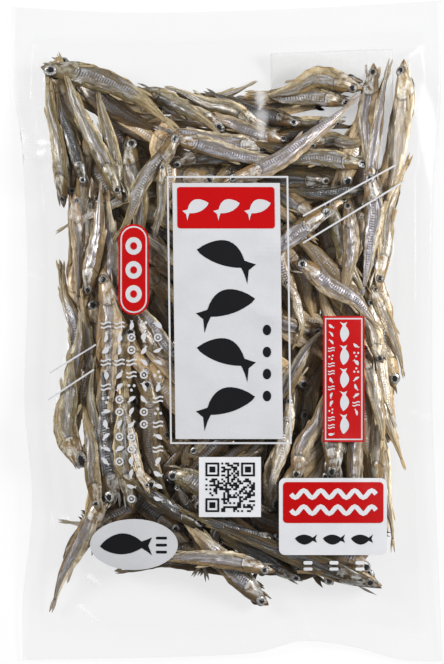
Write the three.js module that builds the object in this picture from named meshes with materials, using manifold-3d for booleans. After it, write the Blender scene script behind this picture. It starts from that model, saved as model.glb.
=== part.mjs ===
// A clear, flat plastic bag of dried anchovies, lying on its back with the printed side up.
//
// Units are millimetres. +Z is up, +Y runs towards the bag's top seal and +X to its right side.
// The origin is at the middle of the bag's base. The bag is one solid: the flat sealed margin of
// the film, the pillow that the contents fill, and the fish that show, which stand out of it.
import * as THREE from "three";
import { mergeVertices } from "three/addons/utils/BufferGeometryUtils.js";
import Module from "manifold-3d";

// Driving dimensions of the bag.
const BAG_WIDTH = 150;
const BAG_LENGTH = 230;
const FILM_THICKNESS = 0.7; // the two films together, thickened so that the margin is a solid
const MARGIN_REST = 1.3; // height of the margin's middle at the bag's outer edge
const MARGIN_RISE = 4.0; // how much higher the margin is where it meets the contents
const MARGIN_WAVE = 0.8; // height of the soft waves along the margin
const MARGIN_WAVE_WIDTH = 11; // about a sixth of a wave's length, across the bag
const MARGIN_WAVE_LENGTH = 17; // and the same along it
const MARGIN_FALL = [0.95, 1.2]; // where the margin falls away, as shares of the contents' reach

// Driving dimensions of the contents.
const FILL_HALF_WIDTH = 67;
const FILL_HALF_LENGTH = 99;
const FILL_HEIGHT = 9.5; // above the margin, in the middle, to the lowest of the fish that show
const FILL_SQUARENESS = 4.4; // 2 is an ellipse, and higher is nearer a rectangle
const FILL_EDGE_POWER = 2.6;
const FILL_EDGE_ROUNDING = 0.62;
const FLAT_BASE_SHARE = 0.84; // how much of the contents' outline rests flat on the table

// Steps of the film's grid, across and along the bag.
const GRID_ACROSS = 13;
const GRID_ALONG = 22;

// An anchovy's girth along its length, as shares of its greatest depth: [place, depth, thickness].
const GIRTH = [
  [0.07, 0.56, 0.42],
  [0.27, 1.0, 0.6],
  [0.62, 0.78, 0.48],
  [0.9, 0.32, 0.24],
];
const HELD_AT = [0.2, 0.8]; // the places along a fish that rest on what is under it
const TAIL_SPREAD = 0.6; // of the depth, at the tip of the tail fin
const TAIL_THICKNESS = 0.5;
const FLOOR_UNDER_FISH = 0.4; // the least height of a fish above the underside of the bag
const KEEL = 2.5; // how far a fish is carried down below its middle, to fill the gap under it
const PILE_STEP = 6.5; // how much higher the last fish of the list lies than the first

// The fish under the printed panel, which hides how they lie: they are laid by a seeded draw.
const PANEL_FISH = 11;
const PANEL_FISH_SEED = 7;
const PANEL_CENTRE = [2, 2];
const PANEL_REACH = [19, 44];
const PANEL_FISH_LENGTH = [38, 50];
const PANEL_FISH_DEPTH = [5.5, 7];
const PANEL_FISH_TURN = 0.9; // radians to either side of lengthways

// The bag's outline, as four curves through the corners: [x, y].
const LEFT_EDGE = [
  [-71.2, -114.5], [-71.2, -93], [-67.8, -60], [-70.6, -24],
  [-69.4, 17], [-71.2, 60], [-74.6, 85], [-75, 112.8],
];
const RIGHT_EDGE = [
  [75, -115], [74, -94], [71.5, -36], [71.2, -12], [71.5, 46], [74.2, 80], [74.5, 115],
];
const BOTTOM_EDGE = [
  [-71.2, -114.5], [-21, -113.5], [9, -112], [26, -107.8], [44, -110], [60, -114.4], [75, -115],
];
const TOP_EDGE = [[-75, 112.8], [-40, 111], [-10, 111], [25, 112.3], [74.5, 115]];

// The fish that show, the lowest first: [head x, head y, tail x, tail y, bow, depth].
// The bow is how far the middle stands to the left of the straight way from head to tail.
const UNDER = [
  [0, 80, -32, 84, 1, 4.5], [-24, 76, 10.5, 87, -1, 4.5], [-47, -8, -59, 25, 2, 4.5],
  [-34, 68, -33, 25, 1, 8], [-8, 20, -38, 40, 1, 4.5], [-22, -78, -59, -66, -2, 4.5],
  [0, -72, -39.5, -84, 2, 5], [26, -87, -8, -66, 1, 5.5], [14, -95.5, -18, -62, 1, 8],
  [52, -31, 57.5, -77, 1, 4], [46, -62, 44, -16, 1, 6], [52, -56, 50, -14, -1, 5.5],
  [37, -52, 39, -8, 1, 7], [24, -53, 37, -18, 2, 6.5], [34, 0, -2, 14, 2, 6],
  [31, 38, 8, 62, 1, 5.5], [27, 36, 57, 22, -2, 6.5], [42, 46, 40, 6, 1, 6],
];
const MIDDLE = [
  [41, 73, 4, 72, 0, 4], [26, 72, -8, 84, 1, 6], [13, 71, -22, 85, -1, 6],
  [22, 66, -14, 76, 0, 5.5], [15, 64, -26, 71, 1, 6.5], [0, 70, -32, 85, 1, 6],
  [43, 80, 6, 83, 0, 6.5], [28, 65, 54, 65.5, 1, 5], [40, 58, 6, 67, 1, 6],
  [49, 58, 12, 60, -1, 6.5], [36, 52, 0, 56, 1, 6], [-21, 58, 20, 60, 2, 6],
  [-22, 68, 25, 60, -2, 6.5], [-54, 46, -62, 88, 1, 5], [-49, 50, -60, 87, 1, 5],
  [-53, 48, -53, 8, 1, 5], [-41, 5, -42, 50, -1, 7], [-49, 12, -44, 53, -1, 6.5],
  [-47, -16, -51, 15, 0, 4], [-46, -58, -46, -8, 1, 4.5], [-40, -61, -43, -14, 0, 7.5],
  [-33, -62, -36, -12, 1, 7], [-8, -68, -40, -48, 1, 6], [20, -74, -17, -62, 1, 7],
  [14, -34, 36, 3, 2, 6], [18, 18, 22, -7, 6, 3.5], [22, -21, 13, -60, 1, 4.5],
  [51, -8, 62, -48.5, -1, 5], [46, -4, 54, -42, 2, 6], [50, 14, 59, -34, -2, 5],
];
const UPPER = [
  [-17, 70, -40, 31, 0, 6.5], [-37, 48, -47, 91, 0, 5], [-57, 43, -63, 91, 0, 5.5],
  [-32, 84, -2, 67, 3, 6], [-22, 60, -26, 25, 0, 5], [-51, -16, -52, 24, 6, 5.5],
  [-53, -31, -51, 8, 2, 6], [-45, -63, -50, -22, -1, 4.5], [-27, -57, -38, -18, 1, 3.5],
  [-12, -14, -38, 17, 1, 5], [50, 17, 61.5, -16.5, 1, 4.5], [54.5, -11, 45, 15, 0, 5.5],
  [51, 93, 50, 48, -2, 6.5], [50, 44, 57, 95, 2, 4.5], [52, 14, 64, 62, 2, 6],
  [35, 47, 50, 10, -2, 6], [47, 84, 11, 79, -7, 7.5], [61.5, 94.5, 54, 40, 2, 7.5],
];
const TOPMOST = [
  [-61, 91, -17, 69, 5, 8.5], [-36, 45, -59, 97, 1, 6], [-2, 51, 46, 83, -4, 6.5],
  [50, 57, 46, 11, 2, 6.5], [22.5, 24, 54, 0, 2, 7], [-50.5, -47.5, -55, -6, 6, 8.5],
  [-38, -56, -61.5, -98, -2, 6.5], [-21.5, -49, 15, -63, 1, 8], [16.5, -84, -31, -79, -2, 6.5],
  [53.5, -89.5, -8, -66, 0, 7],
];

// A repeatable random number from 0 to 1.
function makeDraw(seed) {
  let state = seed;
  return () => {
    state = (state + 0x6d2b79f5) | 0;
    let mixed = Math.imul(state ^ (state >>> 15), 1 | state);
    mixed = (mixed + Math.imul(mixed ^ (mixed >>> 7), 61 | mixed)) ^ mixed;
    return ((mixed ^ (mixed >>> 14)) >>> 0) / 4294967296;
  };
}

function layPanelFish() {
  const draw = makeDraw(PANEL_FISH_SEED);
  const between = (low, high) => low + (high - low) * draw();
  return Array.from({ length: PANEL_FISH }, (_, n) => {
    const y = PANEL_CENTRE[1] + PANEL_REACH[1] * ((2 * n + 1) / PANEL_FISH - 1);
    const x = PANEL_CENTRE[0] + between(-PANEL_REACH[0], PANEL_REACH[0]);
    const half = between(...PANEL_FISH_LENGTH) / 2;
    const angle = (n % 2 ? 1 : -1) * (Math.PI / 2) + between(-PANEL_FISH_TURN, PANEL_FISH_TURN);
    const [dx, dy] = [Math.cos(angle) * half, Math.sin(angle) * half];
    return [x - dx, y - dy, x + dx, y + dy, between(-2, 2), between(...PANEL_FISH_DEPTH)];
  });
}

const ALL_FISH = [...UNDER, ...layPanelFish(), ...MIDDLE, ...UPPER, ...TOPMOST];

// 0 below `from`, 1 above `to`, with a soft rise between them.
function rise(from, to, value) {
  const t = THREE.MathUtils.clamp((value - from) / (to - from), 0, 1);
  return t * t * (3 - 2 * t);
}

// 0 in the middle of the contents and 1 at their edge.
function fillRadius(x, y) {
  const across = Math.abs(x / FILL_HALF_WIDTH) ** FILL_SQUARENESS;
  const along = Math.abs(y / FILL_HALF_LENGTH) ** FILL_SQUARENESS;
  return (across + along) ** (1 / FILL_SQUARENESS);
}

// Height of the middle of the sealed margin.
function marginHeight(x, y) {
  const waves = Math.sin(x / MARGIN_WAVE_WIDTH + 1) * Math.sin(y / MARGIN_WAVE_LENGTH) * MARGIN_WAVE;
  const towardsContents = 1 - rise(...MARGIN_FALL, fillRadius(x, y));
  return MARGIN_REST + MARGIN_RISE * towardsContents + waves * (1 - towardsContents);
}

// Height of the pillow's surface, or of a surface `lift` above it in the middle.
function pillowTop(x, y, lift = 0) {
  const r = Math.min(1, fillRadius(x, y));
  const swell = (1 - r ** FILL_EDGE_POWER) ** FILL_EDGE_ROUNDING;
  return marginHeight(x, y) + FILM_THICKNESS / 2 + (FILL_HEIGHT + lift) * swell;
}

function pillowBottom(x, y) {
  const lifted = rise(FLAT_BASE_SHARE, 1, fillRadius(x, y));
  return (marginHeight(x, y) - FILM_THICKNESS / 2) * lifted;
}

// A point of the bag seen from above, at the shares u across and v along: a patch between four curves.
function makePlan() {
  const curve = (points) => new THREE.SplineCurve(points.map(([x, y]) => new THREE.Vector2(x, y)));
  const left = curve(LEFT_EDGE);
  const right = curve(RIGHT_EDGE);
  const bottom = curve(BOTTOM_EDGE);
  const top = curve(TOP_EDGE);
  const limit = new THREE.Vector2(BAG_WIDTH / 2, BAG_LENGTH / 2);
  return (u, v) => {
    const between = (a, b, t) => a.clone().lerp(b, t);
    const lengthways = between(bottom.getPointAt(u), top.getPointAt(u), v);
    const crossways = between(left.getPointAt(v), right.getPointAt(v), u);
    const corners = between(
      between(bottom.getPointAt(0), bottom.getPointAt(1), u),
      between(top.getPointAt(0), top.getPointAt(1), u),
      v,
    );
    return lengthways.add(crossways).sub(corners).clamp(limit.clone().negate(), limit);
  };
}

// The film and what it holds, without the fish that stand out: a top and a bottom face on one grid.
function makePillow() {
  const plan = makePlan();
  const positions = [];
  for (const height of [pillowTop, pillowBottom]) {
    for (let j = 0; j <= GRID_ALONG; j++) {
      for (let i = 0; i <= GRID_ACROSS; i++) {
        const { x, y } = plan(i / GRID_ACROSS, j / GRID_ALONG);
        positions.push(x, y, height(x, y));
      }
    }
  }
  const row = GRID_ACROSS + 1;
  const layer = row * (GRID_ALONG + 1);
  const faces = [];
  const quad = (a, b, c, d) => faces.push(a, b, c, a, c, d);
  for (let j = 0; j < GRID_ALONG; j++) {
    for (let i = 0; i < GRID_ACROSS; i++) {
      const at = j * row + i;
      quad(at, at + 1, at + row + 1, at + row);
      quad(layer + at, layer + at + row, layer + at + row + 1, layer + at + 1);
    }
  }
  for (let i = 0; i < GRID_ACROSS; i++) {
    const far = GRID_ALONG * row + i;
    quad(i + 1, i, layer + i, layer + i + 1);
    quad(far, far + 1, layer + far + 1, layer + far);
  }
  for (let j = 0; j < GRID_ALONG; j++) {
    const near = j * row;
    const far = near + GRID_ACROSS;
    quad(near, near + row, layer + near + row, layer + near);
    quad(far + row, far, layer + far, layer + far + row);
  }
  const geometry = new THREE.BufferGeometry();
  geometry.setAttribute("position", new THREE.Float32BufferAttribute(positions, 3));
  geometry.setIndex(faces);
  return geometry;
}

// One anchovy on its side, bent in plan, lying on the surface `lift` above the pillow's.
function makeAnchovy([headX, headY, tailX, tailY, bow, depth], lift) {
  const head = new THREE.Vector2(headX, headY);
  const tail = new THREE.Vector2(tailX, tailY);
  const along = tail.clone().sub(head).normalize();
  const left = new THREE.Vector2(-along.y, along.x);
  const control = head.clone().lerp(tail, 0.5).addScaledVector(left, 2 * bow);
  const spine = new THREE.QuadraticBezierCurve(head, control, tail);
  const lying = (s) => {
    const { x, y } = spine.getPoint(s);
    return pillowTop(x, y, lift);
  };
  // A straight line through the heights near the two ends, as a dried fish is stiff.
  const [front, back] = HELD_AT.map(lying);
  const height = (s) => THREE.MathUtils.mapLinear(s, ...HELD_AT, front, back);

  // Each section has four corners: left, keel, right and top.
  const positions = [];
  const addCorner = (middle, side, z) => {
    const x = middle.x - side.y;
    const y = middle.y + side.x;
    positions.push(x, y, Math.max(z, pillowBottom(x, y) + FLOOR_UNDER_FISH));
  };
  const addSection = (s, width, thickness, keel) => {
    const middle = spine.getPoint(s);
    const halfSide = spine.getTangent(s).multiplyScalar(width / 2);
    const z = height(s);
    addCorner(middle, halfSide, z);
    addCorner(middle, new THREE.Vector2(), z - thickness / 2 - keel);
    addCorner(middle, halfSide.clone().negate(), z);
    addCorner(middle, new THREE.Vector2(), z + thickness / 2);
  };
  positions.push(headX, headY, height(0));
  for (const [s, deep, thick] of GIRTH) addSection(s, deep * depth, thick * depth, KEEL * deep);
  addSection(1, TAIL_SPREAD * depth, TAIL_THICKNESS, 0);
  const geometry = new THREE.BufferGeometry();
  geometry.setAttribute("position", new THREE.Float32BufferAttribute(positions, 3));
  geometry.setIndex(anchovyFaces());
  return geometry;
}

// The faces of an anchovy: a fan at the snout, four sides from section to section, a flat end.
function anchovyFaces() {
  const corner = (section, k) => 1 + section * 4 + (k % 4);
  const last = GIRTH.length;
  const faces = [];
  for (let k = 0; k < 4; k++) {
    faces.push(0, corner(0, k), corner(0, k + 1));
    for (let n = 0; n < last; n++) {
      faces.push(corner(n, k), corner(n + 1, k), corner(n + 1, k + 1));
      faces.push(corner(n, k), corner(n + 1, k + 1), corner(n, k + 1));
    }
  }
  faces.push(corner(last, 0), corner(last, 3), corner(last, 2));
  faces.push(corner(last, 0), corner(last, 2), corner(last, 1));
  return faces;
}

const wasm = await Module();
wasm.setup();

function toSolid(geometry) {
  const welded = mergeVertices(geometry, 1e-4);
  return new wasm.Manifold(
    new wasm.Mesh({
      numProp: 3,
      vertProperties: Float32Array.from(welded.attributes.position.array),
      triVerts: Uint32Array.from(welded.index.array),
    }),
  );
}

function toGeometry(solid) {
  const { vertProperties, triVerts } = solid.getMesh();
  const geometry = new THREE.BufferGeometry();
  geometry.setAttribute("position", new THREE.Float32BufferAttribute(vertProperties, 3));
  geometry.setIndex(Array.from(triVerts));
  return geometry;
}

// The outer skin alone: the closed body of the largest volume, without the hollows sealed inside.
function keepOuterSkin(geometry) {
  const welded = mergeVertices(geometry, 1e-4);
  const { position } = welded.attributes;
  const index = welded.index.array;
  const parent = Array.from({ length: position.count }, (_, n) => n);
  const find = (n) => {
    while (parent[n] !== n) {
      parent[n] = parent[parent[n]];
      n = parent[n];
    }
    return n;
  };
  for (let t = 0; t < index.length; t += 3) {
    parent[find(index[t + 1])] = find(index[t]);
    parent[find(index[t + 2])] = find(index[t]);
  }
  const volumes = new Map();
  const at = (n) => new THREE.Vector3().fromBufferAttribute(position, n);
  for (let t = 0; t < index.length; t += 3) {
    const body = find(index[t]);
    const six = at(index[t]).dot(at(index[t + 1]).cross(at(index[t + 2])));
    volumes.set(body, (volumes.get(body) ?? 0) + six);
  }
  const [largest] = [...volumes].reduce((best, body) => (body[1] > best[1] ? body : best));
  const kept = [];
  for (let t = 0; t < index.length; t += 3) {
    if (find(index[t]) === largest) kept.push(index[t], index[t + 1], index[t + 2]);
  }
  welded.setIndex(kept);
  welded.computeVertexNormals();
  return welded;
}

// The fish lie on the pillow, each a little higher than the one before it.
function makeFilledBag() {
  const filled = ALL_FISH.reduce((bag, fish, n) => {
    const lift = (PILE_STEP * n) / ALL_FISH.length;
    return bag.add(toSolid(makeAnchovy(fish, lift)));
  }, toSolid(makePillow()));
  return keepOuterSkin(toGeometry(filled));
}

const bag = new THREE.Mesh(
  makeFilledBag(),
  new THREE.MeshStandardMaterial({ color: 0x8a7c66, roughness: 0.45, metalness: 0.1 }),
);
bag.name = "filled_bag";

const part = new THREE.Group();
part.add(bag);

export default part;
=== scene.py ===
"""A clear, flat bag of dried anchovies, lying on its back and seen from straight above.

Places and sizes are in millimetres, in the frame's axes, until a mesh is made. +Z is up, +Y runs
towards the bag's top seal and +X to its right side. The camera and the lights come first, then the
fish, the film that is stretched over them, the print on the film, and the paper label on its back.
"""

import math

import bpy
import numpy as np
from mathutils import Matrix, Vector
from mathutils.geometry import delaunay_2d_cdt


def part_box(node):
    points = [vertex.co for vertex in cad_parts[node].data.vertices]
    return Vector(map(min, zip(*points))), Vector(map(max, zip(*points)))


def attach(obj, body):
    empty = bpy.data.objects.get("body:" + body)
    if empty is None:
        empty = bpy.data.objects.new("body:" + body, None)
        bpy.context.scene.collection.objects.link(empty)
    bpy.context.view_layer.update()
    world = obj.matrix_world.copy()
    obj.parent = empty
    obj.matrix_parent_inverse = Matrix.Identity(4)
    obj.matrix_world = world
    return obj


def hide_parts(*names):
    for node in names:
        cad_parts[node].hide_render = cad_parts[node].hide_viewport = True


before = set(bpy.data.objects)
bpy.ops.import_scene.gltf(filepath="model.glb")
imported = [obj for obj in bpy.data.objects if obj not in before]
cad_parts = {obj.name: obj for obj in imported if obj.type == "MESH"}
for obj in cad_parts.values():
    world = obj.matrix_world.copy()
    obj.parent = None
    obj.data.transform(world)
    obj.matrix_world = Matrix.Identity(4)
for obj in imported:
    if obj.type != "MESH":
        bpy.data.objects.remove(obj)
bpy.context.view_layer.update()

MM = 0.001
HALF_WIDTH, HALF_LENGTH, BAG_THICKNESS = np.array(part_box("filled_bag")[1]) / MM

# The photograph's frame, and where the bag's middle stands in it.
PICTURE_HEIGHT_PX = 664
MM_PER_PX = 0.348
CAMERA_X = -1.9
CAMERA_Y = -0.35
CAMERA_LENS = 180.0
SENSOR = 36.0
OUTLINE_HEIGHT = 2.0 # the plane that the photograph's pixels are measured in
CAMERA_HEIGHT = PICTURE_HEIGHT_PX * MM_PER_PX * CAMERA_LENS / SENSOR

# The bag's outline, as four curves through the corners.
LEFT_EDGE = [
    (-71.2, -114.5), (-71.2, -93), (-67.8, -60), (-70.6, -24),
    (-69.4, 17), (-71.2, 60), (-74.6, 85), (-75, 112.8),
]
RIGHT_EDGE = [
    (75, -115), (74, -94), (71.5, -36), (71.2, -12), (71.5, 46), (74.2, 80), (74.5, 115),
]
BOTTOM_EDGE = [
    (-71.2, -114.5), (-21, -113.5), (9, -112), (26, -107.8), (44, -110), (60, -114.4), (75, -115),
]
TOP_EDGE = [(-75, 112.8), (-40, 111), (-10, 111), (25, 112.3), (74.5, 115)]

# The sealed margin and the space that the contents fill, as in the part's solid.
MARGIN_REST = 1.3
MARGIN_RISE = 4.0
MARGIN_WAVE = 0.8
MARGIN_WAVE_WIDTH = 11.0
MARGIN_WAVE_LENGTH = 17.0
MARGIN_FALL = (0.95, 1.2)
FILL_HALF_WIDTH = 67.0
FILL_HALF_LENGTH = 99.0
FILL_SQUARENESS = 4.4
FILL_EDGE_POWER = 2.6
FILL_EDGE_ROUNDING = 0.62
PILLOW_EDGE = 7.0
FLAT_BASE_SHARE = 0.84

# The fish that show, the lowest first: head x, head y, tail x, tail y, bow, depth, kind.
# The bow is how far the middle stands to the left of the straight way from head to tail.
UNDER = [
    (-22, -78, -59, -66, -2, 4.5, "olive"), (-40, -56, -61.5, -98, -2, 7, "silver"),
    (0, 80, -32, 84, 1, 4.5, "dark"), (-24, 76, 10.5, 87, -1, 4.5, "olive"),
    (14, 79, -20, 81, 0, 4.5, "dark"), (-25, 48, -60, 34, -2, 4, "olive"),
    (-47, -8, -59, 25, 2, 4.5, "olive"), (-34, 68, -33, 25, 1, 8, "olive"),
    (-8, 20, -38, 40, 1, 4.5, "tan"), (-12, -62, 14, -40, 2, 6, "dark"),
    (0, -72, -39.5, -84, 2, 5, "dark"),
    (4, -52, -12.5, -86, 1, 4.5, "dark"), (-18, -52, -7, -87, 1, 4.5, "dark"),
    (26, -87, -8, -66, 1, 5.5, "dark"), (14, -95.5, -18, -62, 1, 8, "silver"),
    (52, -31, 57.5, -77, 1, 4, "tan"), (46, -62, 44, -16, 1, 6, "silver"),
    (52, -56, 50, -14, -1, 5.5, "tan"), (37, -52, 39, -8, 1, 7, "silver"),
    (24, -53, 37, -18, 2, 6.5, "silver"), (34, 0, -2, 14, 2, 6, "silver"),
    (31, 38, 8, 62, 1, 6.5, "silver"), (35, 47, 50, 10, -2, 6, "olive"),
    (42, 46, 40, 6, 1, 6, "silver"), (51, 50, 14, 49, 1, 5, "dark"),
]
MIDDLE = [
    (41, 73, 4, 72, 0, 4, "olive"), (26, 72, -8, 84, 1, 6, "dark"),
    (13, 71, -22, 85, -1, 6, "olive"), (22, 66, -14, 76, 0, 5.5, "silver"),
    (15, 64, -26, 71, 1, 6.5, "silver"), (0, 70, -32, 85, 1, 6, "silver"),
    (43, 80, 6, 83, 0, 6.5, "olive"), (28, 65, 54, 65.5, 1, 5, "olive"),
    (40, 58, 6, 67, 1, 6, "dark"), (49, 58, 12, 60, -1, 6.5, "olive"),
    (36, 52, 0, 56, 1, 6, "dark"), (-21, 58, 20, 60, 2, 6, "dark"),
    (-22, 68, 25, 60, -2, 6.5, "silver"), (-54, 46, -62, 88, 1, 5, "olive"),
    (-49, 50, -60, 87, 1, 5, "dark"), (-53, 48, -53, 8, 1, 5, "silver"),
    (-41, 5, -42, 50, -1, 7, "silver"), (-49, 12, -44, 53, -1, 6.5, "silver"),
    (-47, -16, -51, 15, 0, 4, "tan"), (-46, -58, -46, -8, 1, 4.5, "olive"),
    (-40, -61, -43, -14, 0, 7.5, "dark"), (-33, -62, -36, -12, 1, 7, "olive"),
    (-43, 22, -41, -30, 1, 7.5, "silver"),
    (-8, -68, -40, -48, 1, 6, "dark"), (20, -74, -17, -62, 1, 7, "dark"),
    (14, -34, 36, 3, 2, 6, "silver"), (18, 18, 22, -7, 6, 3.5, "tan"),
    (22, -21, 13, -61, 1, 5.5, "tan"), (51, -8, 62, -48.5, -1, 5, "tan"),
    (46, -4, 54, -42, 2, 6, "tan"), (50, 14, 59, -34, -2, 5, "tan"),
]
UPPER = [
    (-17, 70, -40, 31, 0, 6.5, "olive"), (-37, 48, -47, 91, 0, 5, "olive"),
    (-57, 43, -63, 91, 0, 5.5, "olive"), (-32, 84, -2, 67, 3, 6, "olive"),
    (-22, 60, -26, 25, 0, 3.4, "olive"), (-50, -14, -57.5, 25, 1, 5.5, "silver"),
    (-53, -31, -51, 8, 1, 6, "silver"), (-45, -63, -50, -22, 0.3, 5.5, "olive"),
    (-27, -57, -38, -18, 1, 3.5, "tan"), (-12, -14, -38, 17, 1, 5, "silver"),
    (50, 17, 61.5, -16.5, 1, 4.5, "tan"), (54.5, -11, 45, 15, 0, 5.5, "tan"),
    (51, 93, 50, 48, -2, 6.5, "silver"), (50, 44, 57, 95, 2, 4.5, "silver"),
    (52, 14, 64, 62, 2, 6, "tan"), (37, 43.5, -4, 14, 0, 7, "silver"),
    (47, 84, 11, 79, -6, 7.5, "olive"), (61.5, 94.5, 54, 40, 2, 7.5, "tan"),
]
TOPMOST = [
    (-65, 91.3, -17, 69.5, 5, 8.5, "olive"), (-36, 45, -59, 97, 1, 6, "olive"),
    (-2, 51, 46, 83, -4, 6.5, "silver"), (50, 57, 46, 11, 2, 6.5, "silver"),
    (22.5, 24, 54, 0, 2, 7, "silver"), (-50.5, -47.5, -54, -6, 3.4, 8.5, "olive"),
    (-21.5, -49, 15, -63, 1, 8, "olive"), (16.5, -84, -31, -79, -2, 6.5, "silver"),
    (53.5, -89.5, -8, -66, 0, 7, "dark"),
]

# The heap's outline and the slits in it that show the table, in the photograph's pixels.
HEAP_EDGE_PX = [
    (41, 68), (56, 56), (76, 64), (105, 75), (132, 90), (160, 91), (205, 92), (232, 89), (250, 86),
    (270, 94), (284, 80), (305, 74), (331, 71), (350, 75), (362, 81), (366, 70), (375, 65), (384, 74),
    (392, 58), (398, 64), (405, 60), (414, 84), (411, 115), (400, 152), (408, 172), (394, 207),
    (386, 240), (385, 268), (389, 304), (396, 334), (398, 372), (396, 414), (404, 448), (407, 470),
    (398, 460), (390, 438), (386, 470), (390, 500), (393, 548), (386, 540), (364, 553), (382, 588),
    (350, 584), (322, 586), (300, 580), (289, 574), (272, 573), (260, 580), (269, 605), (244, 596),
    (231, 581), (207, 578), (182, 568), (120, 572), (96, 558), (88, 540), (73, 568), (58, 603),
    (52, 610), (50, 606), (62, 563), (74, 528), (90, 496), (87, 473), (66, 451), (57, 432), (56, 416),
    (60, 391), (65, 367), (71, 352), (65, 323), (61, 300), (59, 264), (69, 248), (68, 210), (57, 191),
    (52, 150), (45, 92),
]
SLITS_PX = [
    [(389, 80), (393, 80), (390, 118), (385, 140), (379, 170), (374, 168), (381, 134), (385, 108)],
    [(299, 113), (326, 111), (322, 120), (297, 123)], [(346, 94), (361, 91), (357, 101), (349, 107)],
    [(321, 135), (339, 132), (337, 139)], [(77, 106), (104, 122), (102, 127)],
    [(96, 134), (110, 139), (107, 145), (97, 139)], [(81, 417), (86, 418), (87, 439), (83, 436)],
    [(398, 158), (404, 157), (392, 186), (388, 190)],
]

# The fish that hold the others up, and fill the gaps between them.
COMPANIONS = 285
COMPANION_TRIES = 36
COMPANION_TURN = 0.22
COMPANION_LENGTH = (32.0, 54.0)
COMPANION_DEPTH = (5.0, 8.0)
COMPANION_INSIDE = 0.97
COMPANION_KINDS = (0.12, 0.3, 0.5, 0.08)
LOW_KINDS = (0.05, 0.07, 0.18, 0.7)
RIGHT_KINDS = (0.12, 0.7, 0.16, 0.02)
LOW_BELOW = -38.0
RIGHT_BEYOND = 40.0
CORE_REACH = (50.0, 80.0)
CORE_MIDDLE = -4.0
COMPANION_BOW = 1.6
COMPANION_START = (0.15, 0.75) # how much of a companion may lie before the place that it fills
NEIGHBOUR_SHARES = (0.1, 0.4, 0.7)
THIN_ENOUGH = 60
BARE_GAIN = 9 # how much more a bare place counts than a thin one
SURE_WIDTH = 0.88 # the share of a fish's width that surely covers what is under it
SLIT_SHARE = 0.004
KINDS = ("silver", "tan", "olive", "dark")
SEED = 20

# An anchovy's outline along its length, as shares of its greatest depth, from snout to tail root.
PLACES = (0.0, 0.02, 0.05, 0.09, 0.14, 0.19, 0.25, 0.34, 0.45, 0.57, 0.68, 0.78, 0.86, 0.9)
BACK = (0.03, 0.15, 0.25, 0.33, 0.39, 0.43, 0.45, 0.46, 0.46, 0.41, 0.32, 0.22, 0.14, 0.1)
BELLY = (0.03, 0.1, 0.17, 0.27, 0.39, 0.49, 0.54, 0.55, 0.5, 0.41, 0.3, 0.2, 0.13, 0.1)
FLANK = (0.03, 0.12, 0.19, 0.25, 0.29, 0.3, 0.27, 0.25, 0.23, 0.2, 0.15, 0.11, 0.07, 0.05)
HALF_DEPTH = (np.array(BACK) + BELLY) / 2
TAIL_ROOT = PLACES[-1]
LISTED_MESH = (50, 24) # rings and sides of a listed fish
COMPANION_MESH = (24, 12)
EYE_MESH = (7, 14)
FIN_SIDES = 6
FIN_CAP = np.array([[0, 1, 2, 3], [0, 3, 4, 5]])
GILL_EDGE = 0.24
GILL_CURVE = 0.045
FISH_SAMPLES = 40
FISH_SWAY = 0.45
FISH_ROLL = 0.22
FISH_TWIST = 0.3
FISH_DROOP = 0.05
SNOUT_DETAIL = 1.15 # above 1, the rings stand closer to each other near the snout
BACK_ROUNDING = 1.05
BELLY_ROUNDING = 1.45

# Relief of the body: how deep or high it is, and where it starts and is full, as shares.
TRUNK_START = (0.24, 0.34)
TRUNK_END = (0.74, 0.86)
BELLY_HOLLOW = (0.1, 0.5)
BACK_HOLLOW = (0, 0.3)
RIDGE_HEIGHT = 0.16
CHEEK_HEIGHT = 0.16
CHEEK_START = (0.1, 0.17)
GILL_GROOVE = 0.08
MOUTH_GROOVE = 0.4
MOUTH_END = (0.08, 0.12)
WRINKLE_DEPTH = 0.05
WRINKLES_HIGHER = 1.8 # how much more the flanks wrinkle than the outline does
EYE_PLACE = 0.085
EYE_HEIGHT = 0.08
EYE_RADIUS = 0.25
EYE_SINK = 0.86
EYE_DOME = 0.42
EYE_RIM = 0.06
TAIL_SPREAD = (0.04, 0.15)
TAIL_NOTCH = 0.955 # how far the middle of the tail fin reaches, and how much further its ends do
TAIL_FORK = 0.04
TAIL_RAGGED = 0.008
TAIL_WIDTH = (0.16, 0.22)

MAP_STEP = 0.5
PRESSED = 1.3 # how far the film presses each fish into those below it
FLEX = 0.8 # 0 is a stiff fish, and 1 one that follows all that it lies on
REST_SHARES = (-0.8, -0.4, 0, 0.4, 0.8) # across a fish, where others may hold it up
STIFF_AT = 0.48 # where along a fish the straight way that a stiff one follows is taken

FILM_STEP = 1.0
SEAL_SIDE = 7.0
SEAL_END = 10.0
FILM_GAP = 0.2
FILM_CLEARANCE = 0.08
FILM_ACROSS = 150
FILM_ALONG = 230
FILM_PASSES = 700
SQUASH_SOFTNESS = 6.0
FILM_PUFF = 0.0012
FILM_CLEARNESS = (0.962, 0.962, 0.963)
FILM_SEAL_MILK = 0.03
FILM_SHINE = 0.004
BACK_FILM_REST = 0.2 # least height of the back film above the table
CRUMPLE_SEED = 4
CRUMPLE_WAVES = 9
CRUMPLE_LENGTH = (14.0, 40.0)
CRUMPLE_HEIGHT = 0.35
CRUMPLE_BEND = 0.8
CRUMPLE_BEND_LENGTH = (9, 25)
CRUMPLE_EDGE = (0, 6) # how far inside the seals the creases start and are full
FOLD_EDGE = (-4, 3)
FOLD_NARROWING = 0.6
SEAL_EDGE = (-0.6, 0.4)
FILM_BLUR = 2.0

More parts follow.
